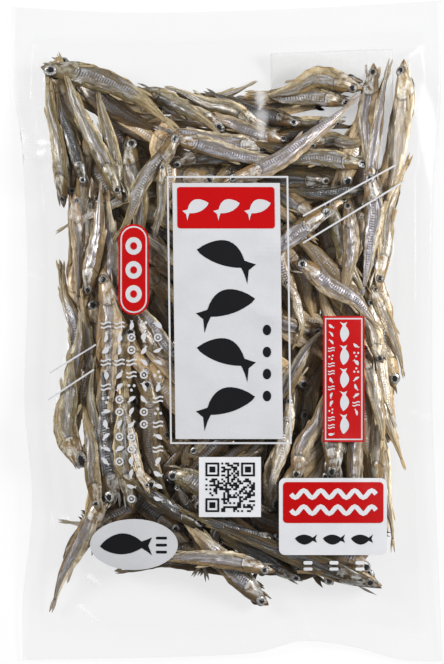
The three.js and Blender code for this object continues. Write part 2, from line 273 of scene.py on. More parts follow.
# Folds of the film: from x, y, to x, y, with height, half width and the strength of the painted highlight
# along them, which stands for the glint that the lamps make on the fold.
FOLDS = [
    (-72.6, 67.9, -62.6, 64.9, 1.6, 1.6, 0.6), (-72.4, 59.6, -63.4, 62.2, 1.6, 1.6, 0.6),
    (67.5, 98.5, 63, 95.5, 0.9, 0.8, 0.4),
    (-47.9, -85, -43.2, -88.6, 1.2, 1.0, 0.5), (-51.3, -95.4, -45, -101, 1.2, 0.7, 0.5),
    (11.3, 81, 11.3, 77, 0.5, 2.0, 0.4), (11.6, 74, 11.6, 67, 0.4, 2.4, 0.3),
    (-70, 20, -64, 18, 0.6, 1.0, 0.1), (70, -30, 64, -28, 0.6, 1.0, 0.1),
    (30, -110, 27, -98, 0.8, 1.4, 0.08),
]

# Places of the print in the photograph's pixels, from its top left corner. A box is its left, top,
# right and bottom, with the radius of its corners where they are round.
BAG_MIDDLE_PX = (227.5, 331.0)
PANEL_PX = (174, 183, 281.5, 439)
PANEL_FRAME_PX = (168.5, 176, 290, 444)
FRAME_LINE_PX = 1.8
PANEL_FIELD_PX = (178.5, 187, 276, 228.5, 3)
FIELD_FISH_PX = [(196, 208), (227, 208), (258, 208)]
PANEL_FISH_PX = [(226, 258), (226, 307), (226, 356), (226, 405)]
PANEL_DOTS_PX = [(267, 330), (267, 352), (267, 374), (267, 396)]
PILL_PX = (118.5, 224, 149, 315, 15.2)
PILL_RINGS_PX = [(133.7, 246), (133.7, 270), (133.7, 294)]
NOTICE_PX = (323, 316, 364.5, 442, 0)
NOTICE_FISH_PX = [(344, 332), (344, 355), (344, 378), (344, 401), (344, 424)]
NOTICE_LEFT_PX = (331.3, 323, 436) # a column of small marks: middle, top and bottom
NOTICE_RIGHT_PX = (356.2, 342, 416)
LABEL_PX = (279, 478, 387, 555, 6)
LABEL_FIELD_PX = (283, 482, 383.5, 523, 4)
LABEL_WAVES_PX = [(291, 376, 494), (291, 376, 510)]
LABEL_FISH_PX = [(306, 539), (334, 539), (362, 539)]
LABEL_BARS_PX = (308, 334, 360)
LABEL_BAR_HALF_PX = 4.5
LABEL_BAR_ROWS_PX = [(561, 564.5, 1.4), (567.5, 570.5, 1.2)]
OVAL_PX = (134, 544.5, 44, 25.5)
OVAL_FISH_PX = (126, 545)
OVAL_BARS_PX = [(156, y - 1.4, 167, y + 1.4, 1.2) for y in (538, 545, 552)]
CODE_PX = (199, 457, 261, 517)
CODE_CORNER_PX = (205.5, 462.5)
CODE_CELL_PX = 1.98
LINES_PX = [
    ((50, 373), (96, 344.5)), ((48, 400), (94, 369.5)), ((303, 216), (396, 165)), ((303, 243), (405, 181)),
]
LINE_WIDTH_PX = 1.7
COLUMNS_PX = [(106, 320, 464), (119.5, 320, 472), (131.5, 320, 506), (144, 320, 428), (158, 320, 510)]
BACK_LABEL_PX = [(270.5, 205.0), (393.0, 51.5)] # its lower left and upper right corners

PRINT_STEP = 1.5
PRINT_LIFT = 0.1
PRINT_THICKNESS = 0.05
PRINT_SEED = 11
MARK_LINE = 0.16
PANEL_LEAN = 0.0125
PANEL_MIDDLE = 7.0
CODE_CELLS = 25
CODE_DARK = 0.48
INKS = {
    "print_white": (0.487, 0.49, 0.508),
    "print_red": (0.388, 0.002, 0.003),
    "print_black": (0.008, 0.008, 0.01),
}
LABEL_LIGHT = 1.16 # how much whiter than the panel the lower right label is
CODE_LIGHT = 1.24
BACK_LABEL_REST = 0.15
BACK_LABEL_GRID = (43, 71)
LABEL_THICKNESS = 0.1
LABEL_UNDER_FILM = 0.1
LABEL_LEAN = 0.04

CAMERA_REACH = 10.0 # in metres, as the lights are
FLOOR_LEVEL = -0.1
FLOOR_SIZE = 4000.0
FLOOR_GLOW = 0.79
WORLD_LIGHT = 0.26
# Name, place and size in metres, and power in watts.
LIGHTS = [
    ("left_softbox", (-0.8, 0.3, 0.55), 0.35, 9.5),
    ("right_softbox", (0.8, 0.2, 0.62), 0.35, 12.5),
]


# Heights and outlines of the bag.
def rise(start, end, value):
    """0 below start, 1 above end, with a soft rise between them."""
    t = np.clip((value - start) / (end - start), 0, 1)
    return t * t * (3 - 2 * t)


def bell(value, middle, width):
    return np.exp(-(((value - middle) / width) ** 2))


def fill_radius(x, y):
    """0 in the middle of the contents and 1 at their edge."""
    across = np.abs(x / FILL_HALF_WIDTH) ** FILL_SQUARENESS
    along = np.abs(y / FILL_HALF_LENGTH) ** FILL_SQUARENESS
    return (across + along) ** (1 / FILL_SQUARENESS)


def margin_height(x, y):
    waves = np.sin(x / MARGIN_WAVE_WIDTH + 1) * np.sin(y / MARGIN_WAVE_LENGTH) * MARGIN_WAVE
    towards = 1 - rise(*MARGIN_FALL, fill_radius(x, y))
    return MARGIN_REST + MARGIN_RISE * towards + waves * (1 - towards)


def underside(x, y):
    lifted = rise(FLAT_BASE_SHARE, 1, fill_radius(x, y))
    return margin_height(x, y) * lifted


def pillow_height(x, y):
    """How high the filled bag may stand."""
    edge = (1 - np.minimum(fill_radius(x, y), 1) ** FILL_EDGE_POWER) ** FILL_EDGE_ROUNDING
    return PILLOW_EDGE + (BAG_THICKNESS - PILLOW_EDGE - 0.5) * edge


def back_height(x, y):
    """The height of the back film."""
    return np.maximum(underside(x, y), BACK_FILM_REST)


def seen_at(x, y, z):
    """Where a point at height z has to be to show at x and y of the picture's plane."""
    nearer = 1 - (z - OUTLINE_HEIGHT) / CAMERA_HEIGHT
    return CAMERA_X + (x - CAMERA_X) * nearer, CAMERA_Y + (y - CAMERA_Y) * nearer


def from_picture(points):
    """The places in the frame of points of the photograph."""
    x, y = np.array(points, float).T
    return np.stack([(x - BAG_MIDDLE_PX[0]) * MM_PER_PX, (BAG_MIDDLE_PX[1] - y) * MM_PER_PX], -1)


def inside(points, outline):
    """Which points lie inside the outline."""
    found = np.zeros(len(points), bool)
    for (x0, y0), (x1, y1) in zip(outline, np.roll(outline, -1, axis=0)):
        crosses = (y0 > points[:, 1]) != (y1 > points[:, 1])
        x = x0 + (points[:, 1] - y0) * (x1 - x0) / (y1 - y0 + 1e-12)
        found ^= crosses & (points[:, 0] < x)
    return found


def left_of(way):
    """Each direction in the plan turned a quarter to the left."""
    return np.stack([-way[..., 1], way[..., 0]], -1)


def unit(rows):
    return rows / np.linalg.norm(rows, axis=1)[:, None]


def around(count):
    """Angles all round a circle."""
    return np.linspace(0, 2 * math.pi, count, endpoint=False)


def smoothed(values, reach, **padding):
    """The values, each smoothed with its neighbours up to reach steps away."""
    kernel = np.hanning(2 * reach + 1)
    return np.convolve(np.pad(values, reach, **padding), kernel / kernel.sum(), mode="valid")


def smooth_curve(points, shares):
    """Points at the given shares of the length of a Catmull-Rom curve."""
    p = np.array(points, float)
    t = np.linspace(0, len(p) - 1, 400)
    k = np.minimum(t.astype(int), len(p) - 2)
    f = (t - k)[:, None]
    before = p[np.maximum(k - 1, 0)]
    after = p[np.minimum(k + 2, len(p) - 1)]
    leave, arrive = (p[k + 1] - before) / 2, (after - p[k]) / 2
    dense = (
        p[k] * (2 * f**3 - 3 * f**2 + 1)
        + leave * (f**3 - 2 * f**2 + f)
        + p[k + 1] * (3 * f**2 - 2 * f**3)
        + arrive * (f**3 - f**2)
    )
    steps = np.linalg.norm(np.diff(dense, axis=0), axis=1)
    reached = np.concatenate(([0], np.cumsum(steps))) / steps.sum()
    return np.stack([np.interp(shares, reached, dense[:, axis]) for axis in (0, 1)], -1)


def bag_plan(u, v):
    """The bag's points, seen from above, at the shares u across and v along it."""
    left, right = (smooth_curve(edge, v)[:, None] for edge in (LEFT_EDGE, RIGHT_EDGE))
    bottom, top = (smooth_curve(edge, u)[None] for edge in (BOTTOM_EDGE, TOP_EDGE))
    u, v = u[None, :, None], v[:, None, None]
    corners = (
        (bottom[:, :1] * (1 - u) + bottom[:, -1:] * u) * (1 - v)
        + (top[:, :1] * (1 - u) + top[:, -1:] * u) * v
    )
    plan = bottom * (1 - v) + top * v + left * (1 - u) + right * u - corners
    limit = np.array([HALF_WIDTH, HALF_LENGTH])
    return np.clip(plan, -limit, limit)


class HeightMap:
    """The height of the highest surface so far over each point of the bag."""

    def __init__(self, step, height):
        self.step = step
        self.x = np.linspace(-HALF_WIDTH, HALF_WIDTH, round(2 * HALF_WIDTH / step) + 1)
        self.y = np.linspace(-HALF_LENGTH, HALF_LENGTH, round(2 * HALF_LENGTH / step) + 1)
        self.z = height(*np.meshgrid(self.x, self.y))

    def cell(self, x, y):
        i = np.rint((x - self.x[0]) / self.step).astype(int).clip(0, len(self.x) - 1)
        j = np.rint((y - self.y[0]) / self.step).astype(int).clip(0, len(self.y) - 1)
        return j, i

    def at(self, x, y):
        return self.z[self.cell(x, y)]

    def raise_to(self, x, y, z):
        np.maximum.at(self.z, self.cell(x, y), z)

    def between(self, x, y):
        """The height at any point, between the nearest four."""
        fx = ((x - self.x[0]) / self.step).clip(0, len(self.x) - 1.001)
        fy = ((y - self.y[0]) / self.step).clip(0, len(self.y) - 1.001)
        i, j = fx.astype(int), fy.astype(int)
        a, b = fx - i, fy - j
        z = self.z
        near = z[j, i] * (1 - a) + z[j, i + 1] * a
        far = z[j + 1, i] * (1 - a) + z[j + 1, i + 1] * a
        return near * (1 - b) + far * b


# Meshes.
def add_mesh(name, vertices, faces, material, attributes=None, smooth=True):
    """A mesh object from arrays in millimetres. Faces is an array of triangles or of quads."""
    mesh = bpy.data.meshes.new(name)
    mesh.from_pydata((vertices * MM).tolist(), [], faces.tolist())
    mesh.polygons.foreach_set("use_smooth", np.full(len(faces), smooth))
    for key, values in (attributes or {}).items():
        kind, field = ("FLOAT", "value") if values.ndim == 1 else ("FLOAT_VECTOR", "vector")
        layer = mesh.attributes.new(key, kind, "POINT")
        layer.data.foreach_set(field, values.astype(np.float32).ravel())
    mesh.materials.append(material)
    mesh.validate()
    piece = bpy.data.objects.new(name, mesh)
    bpy.context.scene.collection.objects.link(piece)
    return piece


def add_sheet(name, x, y, heights, material, attributes=None):
    """A thin closed sheet over a grid of points, between its upper and lower height at each."""
    rows, columns = x.shape
    layer = rows * columns
    vertices = np.concatenate([np.stack([x, y, z], -1).reshape(-1, 3) for z in heights])
    at = np.arange(layer).reshape(rows, columns)
    top = np.stack([at[:-1, :-1], at[:-1, 1:], at[1:, 1:], at[1:, :-1]], -1).reshape(-1, 4)
    border = np.concatenate([at[0, :-1], at[:-1, -1], at[-1, :0:-1], at[:0:-1, 0]])
    following = np.roll(border, -1)
    walls = np.stack([border, border + layer, following + layer, following], -1)
    faces = np.concatenate([top, top[:, ::-1] + layer, walls])
    return add_mesh(name, vertices, faces, material, attributes)


def tube_faces(rings, sides):
    """Quads round an open tube of rings, each of so many vertices."""
    r, s = np.meshgrid(np.arange(rings - 1), np.arange(sides), indexing="ij")
    here, beside = r * sides + s, r * sides + (s + 1) % sides
    return np.stack([here, beside, beside + sides, here + sides], -1).reshape(-1, 4)


def capped_tube(rings, sides):
    """The same with a fan of quads at each end, round the two end points that follow the rings."""
    s = np.arange(0, sides, 2)
    top, last = np.full(len(s), rings * sides), (rings - 1) * sides
    near = np.stack([top, (s + 2) % sides, s + 1, s], -1)
    far = np.stack([top + 1, last + s, last + s + 1, last + (s + 2) % sides], -1)
    return np.concatenate([tube_faces(rings, sides), near, far])


class Parts:
    """Gathers many small closed shapes into one mesh."""

    def __init__(self):
        self.vertices, self.faces, self.attributes, self.count = [], [], {}, 0

    def add(self, vertices, faces, **attributes):
        self.vertices.append(vertices.reshape(-1, 3))
        self.faces.append(faces + self.count)
        for key, values in attributes.items():
            self.attributes.setdefault(key, []).append(values)
        self.count += vertices.size // 3

    def press(self, squash, low, high):
        """Squashes all vertices, and keeps them between the films."""
        for v in self.vertices:
            z = v[:, 2] * squash.between(v[:, 0], v[:, 1])
            x, y = seen_at(v[:, 0], v[:, 1], z)
            floor, roof = low(x, y) + FILM_CLEARANCE, high.between(x, y) - FILM_CLEARANCE
            v[:] = np.stack([x, y, np.clip(z, floor, np.maximum(floor, roof))], -1)

    def build(self, name, material, smooth=True):
        joined = {key: np.concatenate(values) for key, values in self.attributes.items()}
        vertices, faces = np.concatenate(self.vertices), np.concatenate(self.faces)
        return add_mesh(name, vertices, faces, material, joined, smooth)


# The fish.
def along_profile(shares, values):
    """A smooth reading of one of the outline's rows of values."""
    fine = np.linspace(0, TAIL_ROOT, 120)
    smooth = smoothed(np.interp(fine, PLACES, values), 5, mode="reflect", reflect_type="odd")
    return np.interp(shares, fine, smooth)


def wrinkles(draw, place, turn, count=16):
    """A sum of slanting waves, about -1 to 1, over the body."""
    total = np.zeros(np.broadcast(place, turn).shape)
    for _ in range(count):
        along, round_body = draw.uniform(2, 13), draw.integers(-4, 5)
        total += np.sin(2 * math.pi * along * place + round_body * turn + draw.uniform(0, 2 * math.pi))
    return total / math.sqrt(count)


def relief(draw, share, girth, body):
    """How many times as thick as its outline the body is: at belly, back, middle, gill and mouth."""
    gill = GILL_EDGE - GILL_CURVE * girth**2
    past_gill = rise(gill - 0.006, gill + 0.008, share)
    yield 1 - draw.uniform(*BELLY_HOLLOW) * body * bell(girth, -0.35, 0.3)
    yield 1 - draw.uniform(*BACK_HOLLOW) * body * bell(girth, 0.62, 0.2)
    yield 1 + RIDGE_HEIGHT * body * bell(girth, 0.15, 0.16)
    yield 1 + CHEEK_HEIGHT * (1 - past_gill) * rise(*CHEEK_START, share)
    yield 1 - GILL_GROOVE * bell(share, gill + 0.018, 0.014)
    mouth = bell(girth, -0.2 - 1.5 * share, 0.09) * (1 - rise(*MOUTH_END, share))
    yield 1 - MOUTH_GROOVE * mouth


class Fish:
    """One fish: its bent and rolled spine as it lies, and the closed shapes that it is made of."""

    def __init__(self, spec, draw, ground, parts, shows):
        head, tail, bow, self.depth = np.array(spec[:2]), np.array(spec[2:4]), spec[4], spec[5]
        self.draw, self.parts, self.shows, self.tint = draw, parts, shows, draw.random(3)
        left = left_of((tail - head) / np.linalg.norm(tail - head))
        bend = (head + tail) / 2 + 2 * bow * left
        t = np.linspace(0, 1, FISH_SAMPLES)[:, None]
        plan = head * (1 - t) ** 2 + 2 * bend * t * (1 - t) + tail * t**2
        sway = draw.normal(0, FISH_SWAY, 2)
        t = self.t = t[:, 0]
        wave = sway[0] * np.sin(2 * math.pi * t + draw.uniform(0, 6))
        wave = wave + sway[1] * np.sin(3.3 * math.pi * t + draw.uniform(0, 6))
        self.plan = plan + wave[:, None] * left * np.sin(math.pi * t)[:, None]
        self.length = np.linalg.norm(np.diff(self.plan, axis=0), axis=1).sum()
        # The back is on the left or on the right of the way from head to tail.
        self.roll = draw.normal(0, FISH_ROLL) + draw.normal(0, FISH_TWIST) * (t - 0.5)
        if draw.random() < 0.5:
            self.roll = self.roll + math.pi
        self.settle(ground)
        self.spine = np.column_stack([self.plan, self.height])
        self.tangent = unit(np.gradient(self.spine, axis=0))
        self.side = unit(np.cross(np.array([0, 0, 1.0]), self.tangent))
        self.up = np.cross(self.tangent, self.side)
        self.rise_ground(ground)

    def half_sizes(self):
        """Half the fish's width across and its half height as it lies, along the spine."""
        deep = np.interp(self.t, PLACES, HALF_DEPTH) * self.depth
        thick = np.interp(self.t, PLACES, FLANK) * self.depth
        tipped, flat = np.abs(np.sin(self.roll)), np.abs(np.cos(self.roll))
        return deep * flat + thick * tipped, thick * flat + deep * tipped

    def settle(self, ground):
        """Lays the spine on the ground under it, between a stiff line and a slack one."""
        t = self.t
        self.across, self.thick = self.half_sizes()
        left = left_of(unit(np.gradient(self.plan, axis=0)))
        z = np.full(FISH_SAMPLES, -1e9)
        for share in REST_SHARES:
            under = (self.plan + left * (share * self.across)[:, None]).T
            z = np.maximum(z, ground.at(*under) + self.thick * math.sqrt(1 - share**2))
        z -= PRESSED
        hull = [0]
        for n in range(1, FISH_SAMPLES):
            while len(hull) > 1 and self.lies_under(z, hull[-2], hull[-1], n):
                hull.pop()
            hull.append(n)
        slack = np.interp(t, t[hull], z[hull])
        after = next(k for k, n in enumerate(hull) if t[n] > STIFF_AT)
        a, b = hull[after - 1], hull[after]
        stiff = z[a] + (z[b] - z[a]) / (t[b] - t[a]) * (t - t[a])
        self.height = smoothed(FLEX * slack + (1 - FLEX) * stiff, 4, mode="edge")

    def lies_under(self, z, a, b, c):
        """Whether point b is under the straight way from a to c."""
        t = self.t
        return (z[b] - z[a]) * (t[c] - t[a]) <= (z[c] - z[a]) * (t[b] - t[a])

    def rise_ground(self, ground):
        """Raises the ground to the fish's upper side."""
        fine = np.linspace(0, 1, 160)
        rows = np.column_stack([self.spine, self.side[:, :2], self.thick, self.across]).T
        x, y, z, side_x, side_y, thick, across = (np.interp(fine, self.t, row) for row in rows)
        for share in np.linspace(-0.95, 0.95, 15):
            high = z + thick * math.sqrt(1 - share**2)
            ground.raise_to(x + side_x * across * share, y + side_y * across * share, high)

    def place(self, x, y, z):
        """World points for body coordinates: x along from the snout, y to the back, z to a flank."""
        t = np.clip(x / self.length, -0.02, 1.05)
        spine, tangent, side, up = (
            np.stack([np.interp(t, self.t, row) for row in rows.T], -1)
            for rows in (self.spine, self.tangent, self.side, self.up)
        )
        beyond = (t - np.clip(t, 0, 1)) * self.length
        roll = np.interp(t, self.t, self.roll)[..., None]
        across = side * np.cos(roll) + up * np.sin(roll)
        flank = up * np.cos(roll) - side * np.sin(roll)
        return spine + tangent * beyond[..., None] + across * y[..., None] + flank * z[..., None]

    def add(self, vertices, faces, share, girth):
        """Adds a closed shape with what the skin's material reads at each of its points."""
        ones = np.ones(len(share))
        # Whether the fish lies under the others, which the skin's material reads for its painted shade.
        own = {"tint": ones[:, None] * self.tint, "buried": ones * (not self.shows)}
        self.parts.add(vertices, faces, share=share, girth=girth, along=share * self.length, **own)

    def body(self, rings, sides):
        """The body, from the snout to the root of the tail fin."""
        draw, depth = self.draw, self.depth
        share = TAIL_ROOT * np.linspace(0, 1, rings)[:, None] ** SNOUT_DETAIL
        turn = around(sides)
        girth, flank = np.cos(turn), np.sin(turn)
        back, belly, thick = (along_profile(share, row) * depth for row in (BACK, BELLY, FLANK))
        y = np.where(girth > 0, back, belly) * girth
        rounding = np.where(girth > 0, BACK_ROUNDING, BELLY_ROUNDING)
        z = thick * np.sign(flank) * np.abs(flank) ** rounding
        trunk = rise(*TRUNK_START, share) * (1 - rise(*TRUNK_END, share))
        for thicker in relief(draw, share, girth, trunk):
            z = z * thicker
        rough = WRINKLE_DEPTH * (0.3 + 0.7 * trunk) * wrinkles(draw, share, turn)
        y, z = y * (1 + rough), z * (1 + WRINKLES_HIGHER * rough)
        droop = draw.normal(0, FISH_DROOP) * depth * np.sin(3 * share + draw.uniform(0, 6))
        points = self.place(np.broadcast_to(share * self.length, y.shape), y + droop, z)
        ends = self.place(np.array([0, TAIL_ROOT * self.length]), droop[[0, -1], 0], np.zeros(2))
        flat_share = np.append(np.broadcast_to(share, y.shape).ravel(), (0, TAIL_ROOT))
        flat_girth = np.append(np.broadcast_to(girth, y.shape).ravel(), (0, 0))
        vertices = np.concatenate([points.reshape(-1, 3), ends])
        self.add(vertices, capped_tube(rings, sides), flat_share, flat_girth)

    def fin(self, root, tip, width, rings=6, thickness=0.16, reach=0.92, place=TAIL_ROOT):
        """A thin leaf, widest at reach along it. Its ends and width are shares of the fish's size."""
        size = np.array([self.length, self.depth, self.depth])
        root, tip = root * size, tip * size
        t, turn = np.linspace(0, 1, rings)[:, None], around(FIN_SIDES)
        way = (tip - root)[:2] / np.linalg.norm((tip - root)[:2])
        half = width * self.depth * np.interp(t, (0, 0.35, reach, 1), (0.3, 0.75, 1, 0.12)) / 2
        middle = root + (tip - root) * t
        x, y = (middle[:, k : k + 1] + left_of(way)[k] * half * np.cos(turn) for k in (0, 1))
        z = middle[:, 2:] + thickness * np.sin(turn) / 2
        last = (rings - 1) * FIN_SIDES
        faces = np.concatenate([tube_faces(rings, FIN_SIDES), FIN_CAP[:, ::-1], FIN_CAP + last])
        self.add(self.place(x, y, z), faces, np.full(x.size, place), np.zeros(x.size))

    def tail(self):
        """The ragged, forked tail fin, dried shut to some degree."""
        draw = self.draw
        spread = draw.uniform(*TAIL_SPREAD)
        for side in (-1, 0, 1):
            reach = TAIL_NOTCH + TAIL_FORK * abs(side) + draw.uniform(-TAIL_RAGGED, TAIL_RAGGED)
            tip = (reach, side * draw.uniform(0.8, 1.1) * spread, draw.normal(0, 0.2) / self.depth)
            root = (TAIL_ROOT - 0.03, side * 0.05, 0)
            self.fin(root, tip, draw.uniform(*TAIL_WIDTH), reach=0.6, rings=5)

    def fins(self):
        """What is left of the other fins, and the lower jaw, which hangs open on some."""
        draw = self.draw
        jaw = {"thickness": 0.2 * self.depth, "reach": 0.5, "place": 0.1}
        self.fin((0.12, -0.3, 0), (0.012, -draw.uniform(0.2, 0.46), 0), 0.15, **jaw)
        back = draw.uniform(0.44, 0.5)
        self.fin((back, 0.4, 0), (back + 0.1, draw.uniform(0.42, 0.56), 0), 0.16)
        vent = draw.uniform(0.6, 0.66)
        self.fin((vent, -0.3, 0), (vent + 0.12, -draw.uniform(0.26, 0.36), 0), 0.14)
        for flank in (1, -1):
            tip = (draw.uniform(0.3, 0.34), -draw.uniform(0.34, 0.5), flank * 0.2)
            self.fin((0.215, -0.3, flank * 0.24), tip, 0.12)

    def eyes(self, eyes):
        """A low dome on each side of the head: a black pupil in a pale ring."""
        radius = EYE_RADIUS * self.depth
        thick = np.interp(EYE_PLACE, PLACES, FLANK) * self.depth
        rings, sides = EYE_MESH
        out, turn = np.linspace(0.06, 1, rings)[:, None], around(sides)
        x = EYE_PLACE * self.length + radius * out * np.cos(turn)
        y = EYE_HEIGHT * self.depth + radius * out * np.sin(turn)
        dome = thick * EYE_SINK + radius * EYE_DOME * (1 - out**2) + EYE_RIM * bell(out, 0.75, 0.15)
        radial = np.append(np.broadcast_to(out, x.shape).ravel(), (0, 1))
        faces = capped_tube(rings, sides)
        for flank in (1, -1):
            points = self.place(x, y, flank * np.broadcast_to(dome, x.shape)).reshape(-1, 3)
            middle = points[:sides].mean(0, keepdims=True)
            inner = self.place(x[-1], y[-1], np.zeros(sides)).mean(0, keepdims=True)
            outward = faces[:, ::-1] if flank > 0 else faces
            fresh = np.full(len(radial), self.tint[2])
            eyes.add(np.concatenate([points, middle, inner]), outward, out=radial, fresh=fresh)


def footprint(spec):
    """Points all over a fish seen from above."""
    head, tail, bow, depth = np.array(spec[:2]), np.array(spec[2:4]), spec[4], spec[5]
    t = np.linspace(0, 1, 70)[:, None, None]
    along = tail - head
    left = left_of(along) / np.linalg.norm(along)
    width = np.interp(t, PLACES, HALF_DEPTH) * depth * SURE_WIDTH
    across = np.linspace(-1, 1, 13)[None, :, None] * width
    points = head + along * t + left * (4 * bow * t * (1 - t) + across)
    return points[..., 0].ravel(), points[..., 1].ravel()


def covered_by(specs, plan):
    """How many of these fish lie over each cell of the plan."""
    layers = np.zeros(plan.z.shape)
    for spec in specs:
        over = np.zeros(layers.shape, bool)
        over[plan.cell(*footprint(spec))] = True
        layers += over
    return layers


def beside(point, listed, draw):
    """A fish through this point that lies about as the nearest of the listed ones does."""
    ends = np.array([spec[:4] for spec in listed])
    heads, ways = ends[:, :2], ends[:, 2:] - ends[:, :2]
    away = np.min([np.linalg.norm(heads + ways * t - point, axis=1) for t in NEIGHBOUR_SHARES], axis=0)
    along = ways[np.argmin(away)]
    angle = math.atan2(along[1], along[0]) + draw.normal(0, COMPANION_TURN) + draw.choice((0, math.pi))
    length = draw.uniform(*COMPANION_LENGTH)
    way = length * np.array([math.cos(angle), math.sin(angle)])
    head = point - way * draw.uniform(*COMPANION_START)
    bow, depth = draw.normal(0, COMPANION_BOW), draw.uniform(*COMPANION_DEPTH)
    kinds = COMPANION_KINDS
    if point[0] > RIGHT_BEYOND:
        kinds = RIGHT_KINDS
    elif point[1] < LOW_BELOW:
        kinds = LOW_KINDS
    return (*head, *(head + way), bow, depth, draw.choice(KINDS, p=kinds))


def companions(draw, listed, plan):
    """The fish that fill the heap under those that show, each laid where the heap is thin."""
    layers = covered_by(listed, plan)
    x, y = np.meshgrid(plan.x, plan.y)
    points = np.stack([x, y], -1).reshape(-1, 2)
    heap = inside(points, from_picture(HEAP_EDGE_PX)).reshape(x.shape)
    slits = [inside(points, from_picture(corners)) for corners in SLITS_PX]
    slit = np.any(slits, axis=0).reshape(x.shape)
    core = (x / CORE_REACH[0]) ** 4 + ((y - CORE_MIDDLE) / CORE_REACH[1]) ** 4 < 1
    wanted = (heap & ~slit) * (1 + core)
    laid = []
    for _ in range(COMPANIONS):
        thin = np.argwhere(layers < np.minimum(wanted, 1))
        if len(thin) < THIN_ENOUGH:
            thin = np.argwhere(layers < wanted)
        best, most = None, 0
        for row, column in thin[draw.integers(len(thin), size=COMPANION_TRIES)]:
            spec = beside((plan.x[column], plan.y[row]), listed, draw)
            over = plan.cell(*footprint(spec))
            gain = (layers[over] < wanted[over]).mean()
            gain = gain + BARE_GAIN * ((layers[over] == 0) & heap[over]).mean()
            if gain > most and heap[over].mean() > COMPANION_INSIDE and slit[over].mean() < SLIT_SHARE:
                best, most = spec, gain
        if best:
            laid.append(best)
            layers += covered_by([best], plan)
    return laid


def make_fish(ground):
    """All the fish, each with its own seed, so that a change to one leaves the next as it is."""
    kinds = {kind: Parts() for kind in KINDS}
    eyes = Parts()
    listed = (*UNDER, *MIDDLE, *UPPER, *TOPMOST)
    filling = companions(np.random.default_rng(SEED), listed, ground)
    for n, spec in enumerate((*filling, *listed)):
        place = n - len(filling)
        shows = place >= 0
        draw = np.random.default_rng((SEED, shows, abs(place)))
        fish = Fish(spec, draw, ground, kinds[spec[-1]], shows)
        fish.body(*(LISTED_MESH if shows else COMPANION_MESH))
        fish.tail()
        if shows:
            fish.fins()
        fish.eyes(eyes)
    return kinds, eyes


# The film.
def shifted(z, axis, reach):
    """Copies of a map moved along one axis by up to reach cells either way, its edge held."""
    padded = np.pad(z, [(reach, reach) if k == axis else (0, 0) for k in (0, 1)], mode="edge")
    return [np.take(padded, np.arange(n, n + z.shape[axis]), axis=axis) for n in range(2 * reach + 1)]


def blurred(z, sigma):
    reach = int(3 * sigma + 1)
    kernel = np.exp(-0.5 * (np.arange(-reach, reach + 1) / sigma) ** 2)
    kernel /= kernel.sum()
    for axis in (0, 1):
        z = sum(weight * copy for weight, copy in zip(kernel, shifted(z, axis, reach)))
    return z


def widened(z, cells):
    """The highest value within so many cells of each cell."""
    for axis in (0, 1):
        z = np.max(shifted(z, axis, cells), axis=0)
    return z


def seal_depth(x, y):
    """How far inside the seals a point is, in mm: below 0 on them and 0 at their inner edge."""
    depth = np.full(x.shape, 1e9)
    for edge, width in (
        (LEFT_EDGE, SEAL_SIDE), (RIGHT_EDGE, SEAL_SIDE), (BOTTOM_EDGE, SEAL_END), (TOP_EDGE, SEAL_END),
    ):
        away = np.full(x.shape, 1e9)
        for px, py in smooth_curve(edge, np.linspace(0, 1, 300)):
            away = np.minimum(away, (x - px) ** 2 + (y - py) ** 2)
        depth = np.minimum(depth, np.sqrt(away) - width)
    return depth


def folds(x, y, painted_glint=False):
    """Height of the film's sharp folds, each a ridge that narrows from its first end to its last; with
    painted_glint, the painted highlight along each fold instead.
    """
    total = np.zeros_like(x)
    for x0, y0, x1, y1, height, width, white in FOLDS:
        dx, dy = x1 - x0, y1 - y0
        t = np.clip(((x - x0) * dx + (y - y0) * dy) / (dx * dx + dy * dy), 0, 1)
        away = np.hypot(x - x0 - t * dx, y - y0 - t * dy) / (width * (1 - FOLD_NARROWING * t))
        # white is the painted highlight along the fold, taken with painted_glint in place of the height.
        total += white * np.exp(-(away**4)) if painted_glint else height * np.exp(-(away**2))
    return total


def crumple(x, y):
    """Soft creases all over the film, from a few long waves."""
    draw = np.random.default_rng(CRUMPLE_SEED)
    total = np.zeros_like(x)
    for _ in range(CRUMPLE_WAVES):
        angle, length = draw.uniform(0, math.pi), draw.uniform(*CRUMPLE_LENGTH)
        way = (x * math.cos(angle) + y * math.sin(angle)) * 2 * math.pi / length
        aside = (y * math.cos(angle) - x * math.sin(angle)) / draw.uniform(*CRUMPLE_BEND_LENGTH)
        share, start = draw.uniform(0.3, 1), draw.uniform(0, 6)
        total += share * length * (1 - np.abs(np.sin(way + CRUMPLE_BEND * np.sin(aside) + start)))
    return CRUMPLE_HEIGHT * total / (CRUMPLE_WAVES * CRUMPLE_LENGTH[1])


def stretch_film(ground):
    """The front film: held at the seals and stretched over the fish."""
    film = HeightMap(FILM_STEP, margin_height)
    x, y = np.meshgrid(film.x, film.y)
    depth = seal_depth(x, y)
    every = round(FILM_STEP / MAP_STEP)
    top = np.maximum(blurred(widened(ground.z, 2), FILM_BLUR), widened(ground.z, 1))
    rest = margin_height(x, y) + FILM_GAP
    load = np.maximum(top[::every, ::every] + FILM_GAP, rest)
    z = np.where(depth < 0, rest, load)
    for _ in range(FILM_PASSES):
        padded = np.pad(z, 1, mode="edge")
        mean = (padded[:-2, 1:-1] + padded[2:, 1:-1] + padded[1:-1, :-2] + padded[1:-1, 2:]) / 4
        z = np.where(depth < 0, rest, np.maximum(load, mean + FILM_PUFF))
    film.z = z + rise(*CRUMPLE_EDGE, depth) * crumple(x, y) + rise(*FOLD_EDGE, depth) * folds(x, y)
    return film


def squash_map(film):
    """How far everything between the films is pressed down, so that the bag is no fuller than it is."""
    squash = HeightMap(FILM_STEP, pillow_height)
    squash.z = blurred(np.minimum(squash.z / widened(film.z, 3), 1), SQUASH_SOFTNESS / FILM_STEP)
    return squash


